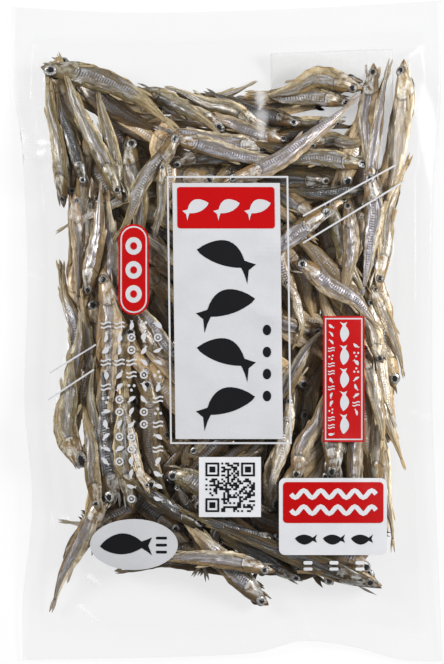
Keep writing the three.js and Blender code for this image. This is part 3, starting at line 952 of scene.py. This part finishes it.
def make_film(film):
    """Both films, joined along the bag's outline into one thin, closed bag."""
    plan = bag_plan(np.linspace(0, 1, FILM_ACROSS + 1), np.linspace(0, 1, FILM_ALONG + 1))
    x, y = plan[..., 0], plan[..., 1]
    seal = 1 - rise(*SEAL_EDGE, seal_depth(x, y).ravel())
    # A painted highlight along each fold, for the glint that the lamps make on it.
    painted_glint = np.append(folds(x, y, painted_glint=True).ravel(), np.zeros(x.size))
    heights = film.between(x, y), back_height(x, y)
    marks = {"seal": np.tile(seal, 2), "painted_glint": painted_glint}
    return add_sheet("bag_film", x, y, heights, film_material(), marks)


# The print.
def arc(x, y, half_width, half_height, angles):
    """Points of the picture on an oval round x and y."""
    return np.stack([x + half_width * np.cos(angles), y + half_height * np.sin(angles)], -1)


def rounded_box(left, top, right, bottom, radius=0.0):
    """A box of the picture, with round corners."""
    if radius == 0:
        return from_picture([(left, top), (right, top), (right, bottom), (left, bottom)])
    middles = (
        (right - radius, bottom - radius), (left + radius, bottom - radius),
        (left + radius, top + radius), (right - radius, top + radius),
    )
    turn = np.linspace(0, math.pi / 2, 6)
    corners = [arc(*middle, radius, radius, turn + k * math.pi / 2) for k, middle in enumerate(middles)]
    return from_picture(np.concatenate(corners))


def inset(box, by):
    """The box drawn in by so much on every side."""
    left, top, right, bottom, radius = box
    return left + by, top + by, right - by, bottom - by, max(radius - by, 0)


def oval(x, y, half_width, half_height, points=28):
    return from_picture(arc(x, y, half_width, half_height, around(points)))


def stroke(points, width):
    """A line of even width through points of the picture."""
    p = np.array(points, float)
    side = left_of(unit(np.gradient(p, axis=0))) * width / 2
    return from_picture(np.concatenate([p + side, (p - side)[::-1]]))


def ring_mark(x, y, radius, width):
    return stroke(arc(x, y, radius, radius, np.linspace(0.1, 2 * math.pi - 0.1, 14)), width)


def wave_stroke(left, right, y, height, waves, width):
    x = np.linspace(left, right, 8 * waves + 1)
    wave = height * np.sin(2 * math.pi * waves * (x - left) / (right - left))
    return stroke(np.stack([x, y + wave], -1), width)


def fish_mark(x, y, length, depth, angle, bend=0.0):
    """A plain fish seen from the side, its head towards the angle, given clockwise in degrees."""
    body = np.linspace(0, 0.8, 12)
    t = np.append(body, [0.9, 1.0, 0.93])
    half = np.append(np.sin(math.pi * (body / 0.86)) ** 0.75, [0.55, 0.85, 0.0]) * depth / 2
    along = np.append(t, t[-2:0:-1])
    across = np.append(half, -half[-2:0:-1])
    px = (0.5 - along) * length
    py = across + bend * length * ((2 * along - 1) ** 2 - 0.5)
    cos, sin = math.cos(math.radians(angle)), math.sin(math.radians(angle))
    return from_picture(np.stack([x + px * cos - py * sin, y + px * sin + py * cos], -1))


def subdivided(outline, step):
    """The outline with points no further apart than step."""
    points = []
    for here, there in zip(outline, np.roll(outline, -1, axis=0)):
        count = max(1, math.ceil(np.linalg.norm(there - here) / step))
        points.append(here + (there - here) * np.arange(count)[:, None] / count)
    return np.concatenate(points)


class Ink(Parts):
    """One colour of print: thin patches of it, draped on the film."""

    def __init__(self, film):
        super().__init__()
        self.film, self.light = film, 1.0

    def fill(self, outline, layer=0):
        edge = subdivided(outline, PRINT_STEP)
        low, high = edge.min(0) + PRINT_STEP / 2, edge.max(0)
        lines = (np.arange(low[k], high[k], PRINT_STEP) for k in (0, 1))
        grid = np.stack(np.meshgrid(*lines), -1).reshape(-1, 2)
        grid = grid[inside(grid, edge)]
        if len(grid):
            gap = np.min(np.linalg.norm(grid[:, None] - edge[None], axis=2), axis=1)
            grid = grid[gap > 0.4 * PRINT_STEP]
        points = [Vector(p) for p in np.concatenate([edge, grid])]
        border = [(k, (k + 1) % len(edge)) for k in range(len(edge))]
        flat, _, triangles, *_ = delaunay_2d_cdt(points, border, [], 0, 1e-6, False)
        flat, triangles = np.array([tuple(p) for p in flat]), np.array(triangles)
        triangles = triangles[inside(flat[triangles].mean(1), edge)]
        a, b, c = (flat[triangles[:, k]] for k in range(3))
        turned = (b - a)[:, 0] * (c - a)[:, 1] - (b - a)[:, 1] * (c - a)[:, 0] < 0
        triangles[turned] = triangles[turned][:, ::-1]
        self.drape(flat, triangles, layer)

    def drape(self, flat, triangles, layer):
        """Adds the flat patch as a thin closed one that lies on the film."""
        flat = np.stack(seen_at(*flat.T, self.film.between(*flat.T)), -1)
        z = self.film.between(*flat.T) + PRINT_LIFT * (1 + layer)
        count = len(flat)
        top, under = (np.column_stack([flat, z + up]) for up in (PRINT_THICKNESS, 0))
        edges = np.concatenate([triangles[:, [0, 1]], triangles[:, [1, 2]], triangles[:, [2, 0]]])
        known = {(a, b) for a, b in edges}
        a, b = np.array([(a, b) for a, b in edges if (b, a) not in known]).T
        walls = np.concatenate([np.stack([a, a + count, b], -1), np.stack([b, a + count, b + count], -1)])
        faces = np.concatenate([triangles, triangles[:, ::-1] + count, walls])
        self.add(np.concatenate([top, under]), faces, light=np.full(2 * count, self.light))


def small_mark(ink, draw, x, y, size, layer):
    """A small fish, a ring, three dots or two waves."""
    kind = draw.integers(6)
    thin = size * MARK_LINE
    if kind < 3:
        depth = size * draw.uniform(0.34, 0.5)
        ink.fill(fish_mark(x, y, size, depth, draw.uniform(0, 360), 0.1), layer)
    elif kind == 3:
        ink.fill(ring_mark(x, y, size * 0.33, thin), layer)
        ink.fill(oval(x, y, size * 0.12, size * 0.12, 8), layer)
    elif kind == 4:
        turn = draw.uniform(0, 2)
        for a in (0, 2.1, 4.2):
            place = x + size * 0.3 * math.cos(a + turn), y + size * 0.3 * math.sin(a + turn)
            ink.fill(oval(*place, size * 0.15, size * 0.15, 8), layer)
    else:
        for row in (y - 0.2 * size, y + 0.2 * size):
            ink.fill(wave_stroke(x - size / 2, x + size / 2, row, size * 0.09, 1, thin), layer)


def marks_column(ink, draw, column, size, pitch, layer=0):
    """A column of small marks where small print stands."""
    x, top, bottom = column
    for y in np.arange(top + size / 2, bottom, pitch):
        small_mark(ink, draw, x, y, size, layer)


def leaned(outline):
    """The outline turned into the slight slant that the panel and its frame have."""
    x, y = outline.T
    return np.stack([x - PANEL_LEAN * (y - PANEL_MIDDLE), y], -1)


def print_panel(white, red, black):
    """The white panel with its red field, four black fish and a short row of dots, and its frame."""
    white.fill(leaned(rounded_box(*PANEL_PX)))
    red.fill(leaned(rounded_box(*PANEL_FIELD_PX)), 1)
    for place in FIELD_FISH_PX:
        white.fill(fish_mark(*place, length=27, depth=13, angle=-28, bend=0.12), 2)
    for n, place in enumerate(PANEL_FISH_PX):
        angle, bend = (-24, 0.14) if n % 2 else (204, -0.14)
        black.fill(fish_mark(*place, length=60, depth=25, angle=angle, bend=bend), 1)
    for place in PANEL_DOTS_PX:
        black.fill(oval(*place, half_width=4.2, half_height=5.4, points=14), 1)
    left, top, right, bottom = PANEL_FRAME_PX
    inner_left, inner_top, inner_right, inner_bottom, _ = inset((*PANEL_FRAME_PX, 0), FRAME_LINE_PX)
    for box in (
        (left, top, right, inner_top), (left, inner_bottom, right, bottom),
        (left, inner_top, inner_left, inner_bottom), (inner_right, inner_top, right, inner_bottom),
    ):
        white.fill(leaned(rounded_box(*box)))


def lined_box(red, white, box, outer, inner):
    """A red box with a white line inside its edge, from outer to inner pixels in."""
    red.fill(rounded_box(*box))
    white.fill(rounded_box(*inset(box, outer)), 1)
    red.fill(rounded_box(*inset(box, inner)), 2)


def print_pill(white, red):
    """The red pill with a white line inside its edge and three white rings."""
    lined_box(red, white, PILL_PX, outer=2, inner=3.5)
    for place in PILL_RINGS_PX:
        white.fill(oval(*place, half_width=8.2, half_height=8.8), 3)
        red.fill(oval(*place, half_width=3.4, half_height=3.8, points=14), 4)


def print_notice(white, red, draw):
    """The upright red box with a white line inside its edge and three columns of marks."""
    lined_box(red, white, NOTICE_PX, outer=2, inner=3.4)
    marks_column(white, draw, NOTICE_LEFT_PX, size=6.6, pitch=7.7, layer=3)
    for place in NOTICE_FISH_PX:
        white.fill(fish_mark(*place, length=20, depth=9, angle=90, bend=0.06), 3)
    marks_column(white, draw, NOTICE_RIGHT_PX, size=7.4, pitch=8.3, layer=3)


def print_label(white, red, black):
    """The rounded label at the lower right: a red field with waves over a white one with fish."""
    white.fill(rounded_box(*LABEL_PX))
    red.fill(rounded_box(*LABEL_FIELD_PX), 1)
    for line in LABEL_WAVES_PX:
        white.fill(wave_stroke(*line, height=3.6, waves=5, width=4.6), 2)
    for place in LABEL_FISH_PX:
        black.fill(fish_mark(*place, length=22, depth=10, angle=180, bend=0.05), 1)
    for x in LABEL_BARS_PX:
        for top, bottom, radius in LABEL_BAR_ROWS_PX:
            white.fill(rounded_box(x - LABEL_BAR_HALF_PX, top, x + LABEL_BAR_HALF_PX, bottom, radius))


def print_oval(white, black):
    white.fill(oval(*OVAL_PX, points=40))
    black.fill(fish_mark(*OVAL_FISH_PX, length=52, depth=21, angle=180, bend=-0.05), 1)
    for bar in OVAL_BARS_PX:
        black.fill(rounded_box(*bar), 1)


def print_code(white, black, draw):
    """A square code that holds nothing: three corner squares and cells by a seeded draw."""
    white.fill(rounded_box(*CODE_PX))
    dark = draw.random((CODE_CELLS, CODE_CELLS)) < CODE_DARK
    rows, columns = np.mgrid[0:CODE_CELLS, 0:CODE_CELLS]
    for row, column in ((3, 3), (3, CODE_CELLS - 4), (CODE_CELLS - 4, 3)):
        ring = np.maximum(np.abs(rows - row), np.abs(columns - column))
        dark[ring <= 4] = False
        dark[(ring == 3) | (ring <= 1)] = True
    left, top = CODE_CORNER_PX
    cell = CODE_CELL_PX
    for row, cells in enumerate(dark):
        # Where the row turns dark and light again, in pairs.
        for start, end in np.flatnonzero(np.diff(np.pad(cells, 1))).reshape(-1, 2):
            box = (left + start * cell, top + row * cell, left + end * cell, top + (row + 1) * cell)
            black.fill(rounded_box(*box), 1)


def print_lines(white, draw):
    """The pairs of slanting lines and the five columns of small marks."""
    for ends in LINES_PX:
        white.fill(stroke(ends, LINE_WIDTH_PX))
    for column in COLUMNS_PX:
        marks_column(white, draw, column, size=10.2, pitch=12.4)


def make_print(film):
    """The pieces of print, each with the name of its ink."""
    draw = np.random.default_rng(PRINT_SEED)
    inks = {name: Ink(film) for name in INKS}
    white, red, black = inks.values()
    print_panel(white, red, black)
    print_pill(white, red)
    print_notice(white, red, draw)
    print_oval(white, black)
    white.light = LABEL_LIGHT
    print_label(white, red, black)
    white.light = CODE_LIGHT
    print_code(white, black, draw)
    white.light = 1.0
    print_lines(white, draw)
    return [(ink.build(name, ink_material(name), smooth=False), name) for name, ink in inks.items()]


def make_back_label():
    """The paper label on the back film, seen through the bag beside the fish."""
    (left, bottom), (right, top) = from_picture(BACK_LABEL_PX)
    columns, rows = BACK_LABEL_GRID
    x, y = np.meshgrid(np.linspace(left, right, columns), np.linspace(bottom, top, rows))
    y = y + LABEL_LEAN * (x - (left + right) / 2)
    z = np.maximum(underside(x, y) - LABEL_UNDER_FILM, BACK_LABEL_REST)
    return add_sheet("back_label", x, y, (z, z - LABEL_THICKNESS), paper_material())


# Materials.
class Value:
    """A number that varies over a surface. What is worked out from it is a node too."""

    def __init__(self, nodes, socket):
        self.nodes, self.socket = nodes, socket

    def __add__(self, other):
        return self.nodes.math("ADD", self, other)

    def __sub__(self, other):
        return self.nodes.math("SUBTRACT", self, other)

    def __rsub__(self, other):
        return self.nodes.math("SUBTRACT", other, self)

    def __mul__(self, other):
        return self.nodes.math("MULTIPLY", self, other)

    def __abs__(self):
        return self.nodes.math("ABSOLUTE", self)

    __radd__, __rmul__ = __add__, __mul__

    def ramp(self, low, high, to_low=0.0, to_high=1.0):
        """A soft rise of the value from low to high, held outside them."""
        inputs = {"Value": self, "From Min": low, "From Max": high, "To Min": to_low, "To Max": to_high}
        return self.nodes.value("ShaderNodeMapRange", "Result", inputs, interpolation_type="SMOOTHSTEP")

    def bell(self, middle, width):
        """1 at the middle and 0 further than the width from it."""
        return abs(self - middle).ramp(width, 0.0)


class Nodes:
    """Adds the nodes of one material and joins them."""

    def __init__(self, name):
        self.material = bpy.data.materials.new(name)
        self.material.use_nodes = True
        self.tree = self.material.node_tree
        self.tree.nodes.clear()

    def add(self, kind, inputs=None, **settings):
        node = self.tree.nodes.new(kind)
        for key, value in settings.items():
            setattr(node, key, value)
        for key, value in (inputs or {}).items():
            socket = node.inputs[key]
            if isinstance(value, Value):
                self.tree.links.new(value.socket, socket)
            elif isinstance(value, tuple) and socket.type == "RGBA":
                socket.default_value = (*value, 1)
            else:
                socket.default_value = value
        return node

    def value(self, kind, output=0, inputs=None, **settings):
        """One output of a new node."""
        return Value(self, self.add(kind, inputs, **settings).outputs[output])

    def read(self, name, output="Fac"):
        return self.value("ShaderNodeAttribute", output, attribute_name=name)

    def math(self, operation, *values):
        return self.value("ShaderNodeMath", 0, dict(enumerate(values)), operation=operation)

    def mix(self, share, a, b, **settings):
        inputs = {0: share, 6: a, 7: b}
        return self.value("ShaderNodeMix", 2, inputs, data_type="RGBA", **settings)

    def shade(self, colour, share):
        """The colour times a grey."""
        inputs = {"Red": share, "Green": share, "Blue": share}
        grey = self.value("ShaderNodeCombineColor", 0, inputs)
        return self.mix(1.0, colour, grey, blend_type="MULTIPLY")

    def place(self):
        return self.value("ShaderNodeTexCoord", "Object")

    def noise(self, vector, scale, detail=3.0, rough=0.6):
        inputs = {"Vector": vector, "Scale": scale, "Detail": detail, "Roughness": rough}
        return self.value("ShaderNodeTexNoise", "Fac", inputs)

    def bump(self, height, distance, strength=1.0):
        inputs = {"Height": height, "Distance": distance, "Strength": strength}
        return self.value("ShaderNodeBump", "Normal", inputs)

    def finish(self, shader):
        """The material with this shader on its surface."""
        self.add("ShaderNodeOutputMaterial", {"Surface": shader})
        return self.material

    def surface(self, inputs):
        return self.finish(self.value("ShaderNodeBsdfPrincipled", 0, inputs))


# Colours of the skin, linear, for the kinds in turn: silver, tan, olive and dark.
SKINS = {
    "band": ((0.44, 0.43, 0.465), (0.67, 0.63, 0.575), (0.35, 0.35, 0.363), (0.18, 0.19, 0.205)),
    "deep": ((0.21, 0.19, 0.175), (0.4, 0.34, 0.27), (0.18, 0.148, 0.105), (0.048, 0.038, 0.026)),
    "back": ((0.165, 0.115, 0.057), (0.38, 0.285, 0.155), (0.15, 0.116, 0.052), (0.043, 0.03, 0.012)),
    "belly": ((0.46, 0.41, 0.32), (0.7, 0.6, 0.44), (0.375, 0.332, 0.23), (0.078, 0.06, 0.034)),
    "edge": ((0.6, 0.51, 0.36), (0.79, 0.64, 0.42), (0.52, 0.41, 0.25), (0.165, 0.125, 0.065)),
    "gill": ((0.62, 0.61, 0.58), (0.75, 0.72, 0.65), (0.5, 0.475, 0.41), (0.36, 0.355, 0.335)),
    "crown": ((0.2, 0.115, 0.048), (0.29, 0.175, 0.08), (0.16, 0.09, 0.034), (0.07, 0.04, 0.014)),
    "snout": ((0.22, 0.13, 0.06), (0.26, 0.15, 0.065), (0.17, 0.092, 0.035), (0.09, 0.05, 0.02)),
    "tail": ((0.5, 0.4, 0.25), (0.69, 0.53, 0.3), (0.44, 0.335, 0.185), (0.19, 0.14, 0.065)),
    "amber": ((0.31, 0.195, 0.09), (0.51, 0.335, 0.155), (0.235, 0.15, 0.064), (0.088, 0.044, 0.012)),
    "rib": ((0.48, 0.47, 0.52), (0.66, 0.64, 0.62), (0.38, 0.37, 0.38), (0.19, 0.2, 0.215)),
    "furrow": ((0.12, 0.11, 0.125), (0.26, 0.22, 0.18), (0.105, 0.09, 0.077), (0.045, 0.038, 0.032)),
    "shine": (0.5, 0.3, 0.35, 0.65),
    "coat": (0.22, 0.24, 0.2, 0.38),
    "gloss": (0.28, 0.28, 0.22, 0.26),
}
RIB_PITCH = 0.9
BURIED_PAINTED_SHADE = 0.42 # how far a fish under others turns to its amber, a painted warm shade for the dim light between the fish


def skin_material(kind):
    """Dried skin: a silver band with fine ribs, a dark back, a pale belly, gill covers and tail."""
    skin = {place: colours[KINDS.index(kind)] for place, colours in SKINS.items()}
    n = Nodes("anchovy_" + kind)
    share, girth, along = n.read("share"), n.read("girth"), n.read("along")
    tint = n.read("tint", "Vector")
    own = n.add("ShaderNodeSeparateXYZ", {0: tint})
    own_x, own_y, own_z = (Value(n, output) for output in own.outputs)
    seed = n.value("ShaderNodeVectorMath", 0, {0: tint, "Scale": 57.0}, operation="SCALE")

    def body_noise(per_mm, per_girth, detail, rough=0.6):
        """Noise in the body's own coordinates, so that it runs along each fish."""
        flat = n.value("ShaderNodeCombineXYZ", 0, {0: along * per_mm, 1: girth * per_girth})
        moved = n.value("ShaderNodeVectorMath", 0, {0: flat, 1: seed}, operation="ADD")
        return n.noise(moved, 1.0, detail, rough)

    blotch = body_noise(0.22, 1.6, 3.0)
    ridge = body_noise(0.12, 2.4, 2.5)
    streak = body_noise(0.22, 8.0, 3.0)
    speck = body_noise(1.4, 6.0, 4.0, 0.7)
    stain = body_noise(0.4, 2.4, 2.0)
    wavy = girth + (blotch - 0.5) * 0.9

    # The silver ends at the middle of the body on some fish and at the tail's root on others.
    from_end = own_y * 0.36 + 0.58 - share + (stain - 0.5) * 0.25
    body = share.ramp(0.18, 0.24) * from_end.ramp(-0.08, 0.08)
    half_band = own_z * 0.5 + 0.3
    off_middle = abs(wavy - (own_x * 0.3 - 0.08))
    band = (half_band - off_middle).ramp(-0.03, 0.05) * body
    rib = n.math("SINE", along * (2 * math.pi / RIB_PITCH) + girth * 1.6).ramp(-0.9, 0.4)
    ribbed = off_middle.ramp(0.3, 0.18) * body * own_z.ramp(0.52, 0.66) * blotch.ramp(0.4, 0.52)

    silver = n.mix(ridge.ramp(0.4, 0.6), skin["deep"], skin["band"])
    colour = n.mix(wavy.ramp(-0.05, 0.4), skin["belly"], skin["back"])
    colour = n.mix(wavy.ramp(-0.68, -0.92), colour, skin["edge"])
    colour = n.mix(band, colour, silver)
    past_gill = share - (GILL_EDGE + 0.012 - girth * girth * GILL_CURVE)
    head = past_gill.ramp(0.006, -0.006)
    gill = head * wavy.ramp(0.62, 0.3)
    colour = n.mix(head, colour, n.mix(own_x, skin["back"], skin["crown"]))
    colour = n.mix(gill * body_noise(0.5, 2.2, 3.0).ramp(0.38, 0.56), colour, skin["gill"])
    colour = n.mix(share.ramp(0.055, 0.02), colour, skin["snout"])
    colour = n.mix(from_end.ramp(0.02, -0.2, 0.0, 0.8), colour, skin["tail"])
    stained = stain.ramp(0.5, 0.64, 0.0, 0.7) * (1.0 - head * 0.3) * (1.0 - band * 0.6)
    colour = n.mix(stained, colour, skin["amber"])
    # Darker where the ridge noise is low and lighter where it is high. The same noise raises the bump, so
    # over the skin's own streaks this is painted shade in the hollows and painted light on the crests.
    relief_shade = ridge.ramp(0.36, 0.64, 0.55, 1.22)
    colour = n.shade(colour, relief_shade + (1.0 - relief_shade) * band * 0.55)
    colour = n.mix(body_noise(0.12, 1.2, 2.0).ramp(0.5, 0.62, 0.0, 0.55), colour, skin["back"])
    colour = n.mix(own_x.ramp(0.74, 0.92, 0.0, 0.3) * (1.0 - band * 0.7), colour, skin["amber"])
    # Painted shade: fish that lie under others turn towards their amber, for the warm, dim light between
    # the fish.
    colour = n.mix(n.read("buried") * BURIED_PAINTED_SHADE, colour, skin["amber"])
    border = (off_middle - half_band).bell(0.05, 0.1) * body
    colour = n.shade(colour, border.ramp(0.0, 1.0, 1.0, 0.6))
    colour = n.shade(colour, streak.ramp(0.34, 0.66, 0.92, 1.07))
    colour = n.mix(ribbed * 0.75, colour, n.mix(rib, skin["furrow"], skin["rib"]))
    colour = n.shade(colour, speck.ramp(0.3, 0.7, 0.75, 1.2))
    colour = n.shade(colour, own_y * 0.38 + 0.86)
    colour = n.shade(colour, past_gill.bell(0.008, 0.016).ramp(0.0, 1.0, 1.0, 0.55))

    shiny = n.math("MAXIMUM", band, gill)
    height = (ridge * (1.0 - ribbed) + rib * ribbed * 0.13) * (1.0 - band * 0.35)
    height = (height + streak * 0.12 + speck * 0.13) * head.ramp(0.0, 1.0, 1.0, 0.4)
    return n.surface({
        "Base Color": colour,
        "Metallic": shiny * ridge.ramp(0.35, 0.5) * skin["shine"] * (1.0 - gill * 0.55),
        "Roughness": shiny.ramp(0.0, 1.0, 0.42, 0.34),
        "Specular IOR Level": skin["gloss"],
        "Coat Weight": skin["coat"],
        "Coat Roughness": 0.12,
        "Normal": n.bump(height, 0.5 * MM),
    })


def eye_material():
    """A black pupil in a silver ring that is dulled by drying, more on one fish than on the next."""
    n = Nodes("anchovy_eye")
    out, fresh = n.read("out"), n.read("fresh")
    grain = n.noise(n.place(), 1900.0)
    torn = out + (grain - 0.5) * 0.5
    ring = n.mix(fresh, (0.17, 0.14, 0.1), (0.52, 0.515, 0.5))
    ring = n.shade(ring, grain.ramp(0.35, 0.65, 0.35, 1.25))
    colour = n.mix(torn.ramp(0.46, 0.56), (0.012, 0.011, 0.012), ring)
    return n.surface({
        "Base Color": n.mix(torn.ramp(0.84, 0.96), colour, (0.07, 0.05, 0.03)),
        "Metallic": out.ramp(0.5, 0.6, 0.0, 0.6) * fresh,
        "Roughness": out.ramp(0.4, 0.6, 0.15, 0.35),
        "Normal": n.bump(grain, 0.12 * MM),
    })


def film_material():
    """Clear film: it lets light through, shines by its angle and is slightly milky at the seals, and
    carries painted highlights along its folds.
    """
    n = Nodes("bag_film")
    grain = n.noise(n.place(), 260.0, 4.0)
    ripple = n.bump(grain, 0.03 * MM, 0.4)
    clear = n.value("ShaderNodeBsdfTransparent", 0, {"Color": FILM_CLEARNESS})
    white_diffuse = n.value("ShaderNodeBsdfDiffuse", 0, {"Color": (0.9, 0.9, 0.91)})
    shiny = {"Color": (1.0, 1.0, 1.0), "Roughness": 0.09, "Normal": ripple}
    gloss = n.value("ShaderNodeBsdfGlossy", 0, shiny)
    # The film is milky at the seals and a little all over. Along the folds the same white is a painted
    # highlight.
    milk_and_painted_glint = n.read("seal") * FILM_SEAL_MILK + grain.ramp(0.3, 0.7, 0.0005, 0.0035) + n.read("painted_glint")
    base = n.value("ShaderNodeMixShader", 0, {0: milk_and_painted_glint, 1: clear, 2: white_diffuse})
    # The same shine on both faces of a sheet, where a Fresnel node would shut the light in.
    facing = n.value("ShaderNodeLayerWeight", "Facing", {"Blend": 0.5, "Normal": ripple})
    shine = n.math("POWER", facing, 5.0) * (1 - FILM_SHINE) + FILM_SHINE
    return n.finish(n.value("ShaderNodeMixShader", 0, {0: shine, 1: base, 2: gloss}))


def ink_material(name):
    n = Nodes(name)
    cloud, grain = n.noise(n.place(), 90.0), n.noise(n.place(), 1500.0)
    shade = cloud.ramp(0.3, 0.7, 0.96, 1.02) * grain.ramp(0.3, 0.7, 0.98, 1.01) * n.read("light")
    return n.surface({
        "Base Color": n.shade(INKS[name], shade),
        "Roughness": grain.ramp(0.3, 0.7, 0.4, 0.5),
        "Specular IOR Level": 0.1,
        "Normal": n.bump(grain, 0.02 * MM),
    })


def paper_material():
    n = Nodes("paper_label")
    fibre = n.noise(n.place(), 1100.0, 6.0)
    return n.surface({
        "Base Color": n.mix(fibre.ramp(0.3, 0.7), (0.47, 0.47, 0.466), (0.51, 0.51, 0.506)),
        "Roughness": 0.85,
        "Subsurface Weight": 1.0,
        "Subsurface Radius": (1.0, 1.0, 1.0),
        "Subsurface Scale": 1.5 * MM,
        "Normal": n.bump(fibre, 0.03 * MM),
    })


def floor_material():
    n = Nodes("pale_floor")
    grain = n.noise(n.place(), 40.0)
    return n.surface({
        "Base Color": n.mix(grain, (0.13, 0.13, 0.13), (0.15, 0.15, 0.15)),
        "Roughness": 0.9,
        "Emission Color": (1.0, 1.0, 1.0),
        "Emission Strength": FLOOR_GLOW,
    })


# Camera, light and floor.
def make_camera():
    data = bpy.data.cameras.new("camera")
    data.lens = CAMERA_LENS
    data.sensor_width = SENSOR
    data.clip_end = CAMERA_REACH
    camera = bpy.data.objects.new("camera", data)
    camera.location = np.array([CAMERA_X, CAMERA_Y, OUTLINE_HEIGHT + CAMERA_HEIGHT]) * MM
    bpy.context.scene.collection.objects.link(camera)
    bpy.context.scene.camera = camera


def make_light():
    """Square soft lights turned to the bag, and an even light from all round."""
    for name, place, size, power in LIGHTS:
        data = bpy.data.lights.new(name, "AREA")
        data.size = size
        data.energy = power
        light = bpy.data.objects.new(name, data)
        light.location = place
        light.rotation_euler = (-Vector(place)).to_track_quat("-Z", "Y").to_euler()
        bpy.context.scene.collection.objects.link(light)
    world = bpy.data.worlds.new("studio")
    world.use_nodes = True
    background = world.node_tree.nodes["Background"]
    background.inputs["Color"].default_value = (1, 1, 1, 1)
    background.inputs["Strength"].default_value = WORLD_LIGHT
    bpy.context.scene.world = world
    bpy.context.scene.view_settings.view_transform = "Standard"


def make_floor():
    half = FLOOR_SIZE / 2
    corners = np.array([(-half, -half, 0), (half, -half, 0), (half, half, 0), (-half, half, 0)], float)
    corners[:, 2] = FLOOR_LEVEL
    floor = add_mesh("floor", corners, np.array([[0, 1, 2, 3]]), floor_material(), smooth=False)


make_camera()
make_light()
make_floor()

fish_ground = HeightMap(MAP_STEP, back_height)
kinds, eyes = make_fish(fish_ground)
front_film = stretch_film(fish_ground)
squash = squash_map(front_film)
front_film.z *= squash.z
for kind, parts in kinds.items():
    parts.press(squash, back_height, front_film)
    piece = parts.build("anchovies_" + kind, skin_material(kind))
    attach(piece, "root")
eyes.press(squash, back_height, front_film)
eye_piece = eyes.build("anchovy_eyes", eye_material())
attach(eye_piece, "root")

bag = make_film(front_film)
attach(bag, "root")
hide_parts("filled_bag")

for piece, slot in make_print(front_film):
    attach(piece, "root")

label = make_back_label()
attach(label, "root")
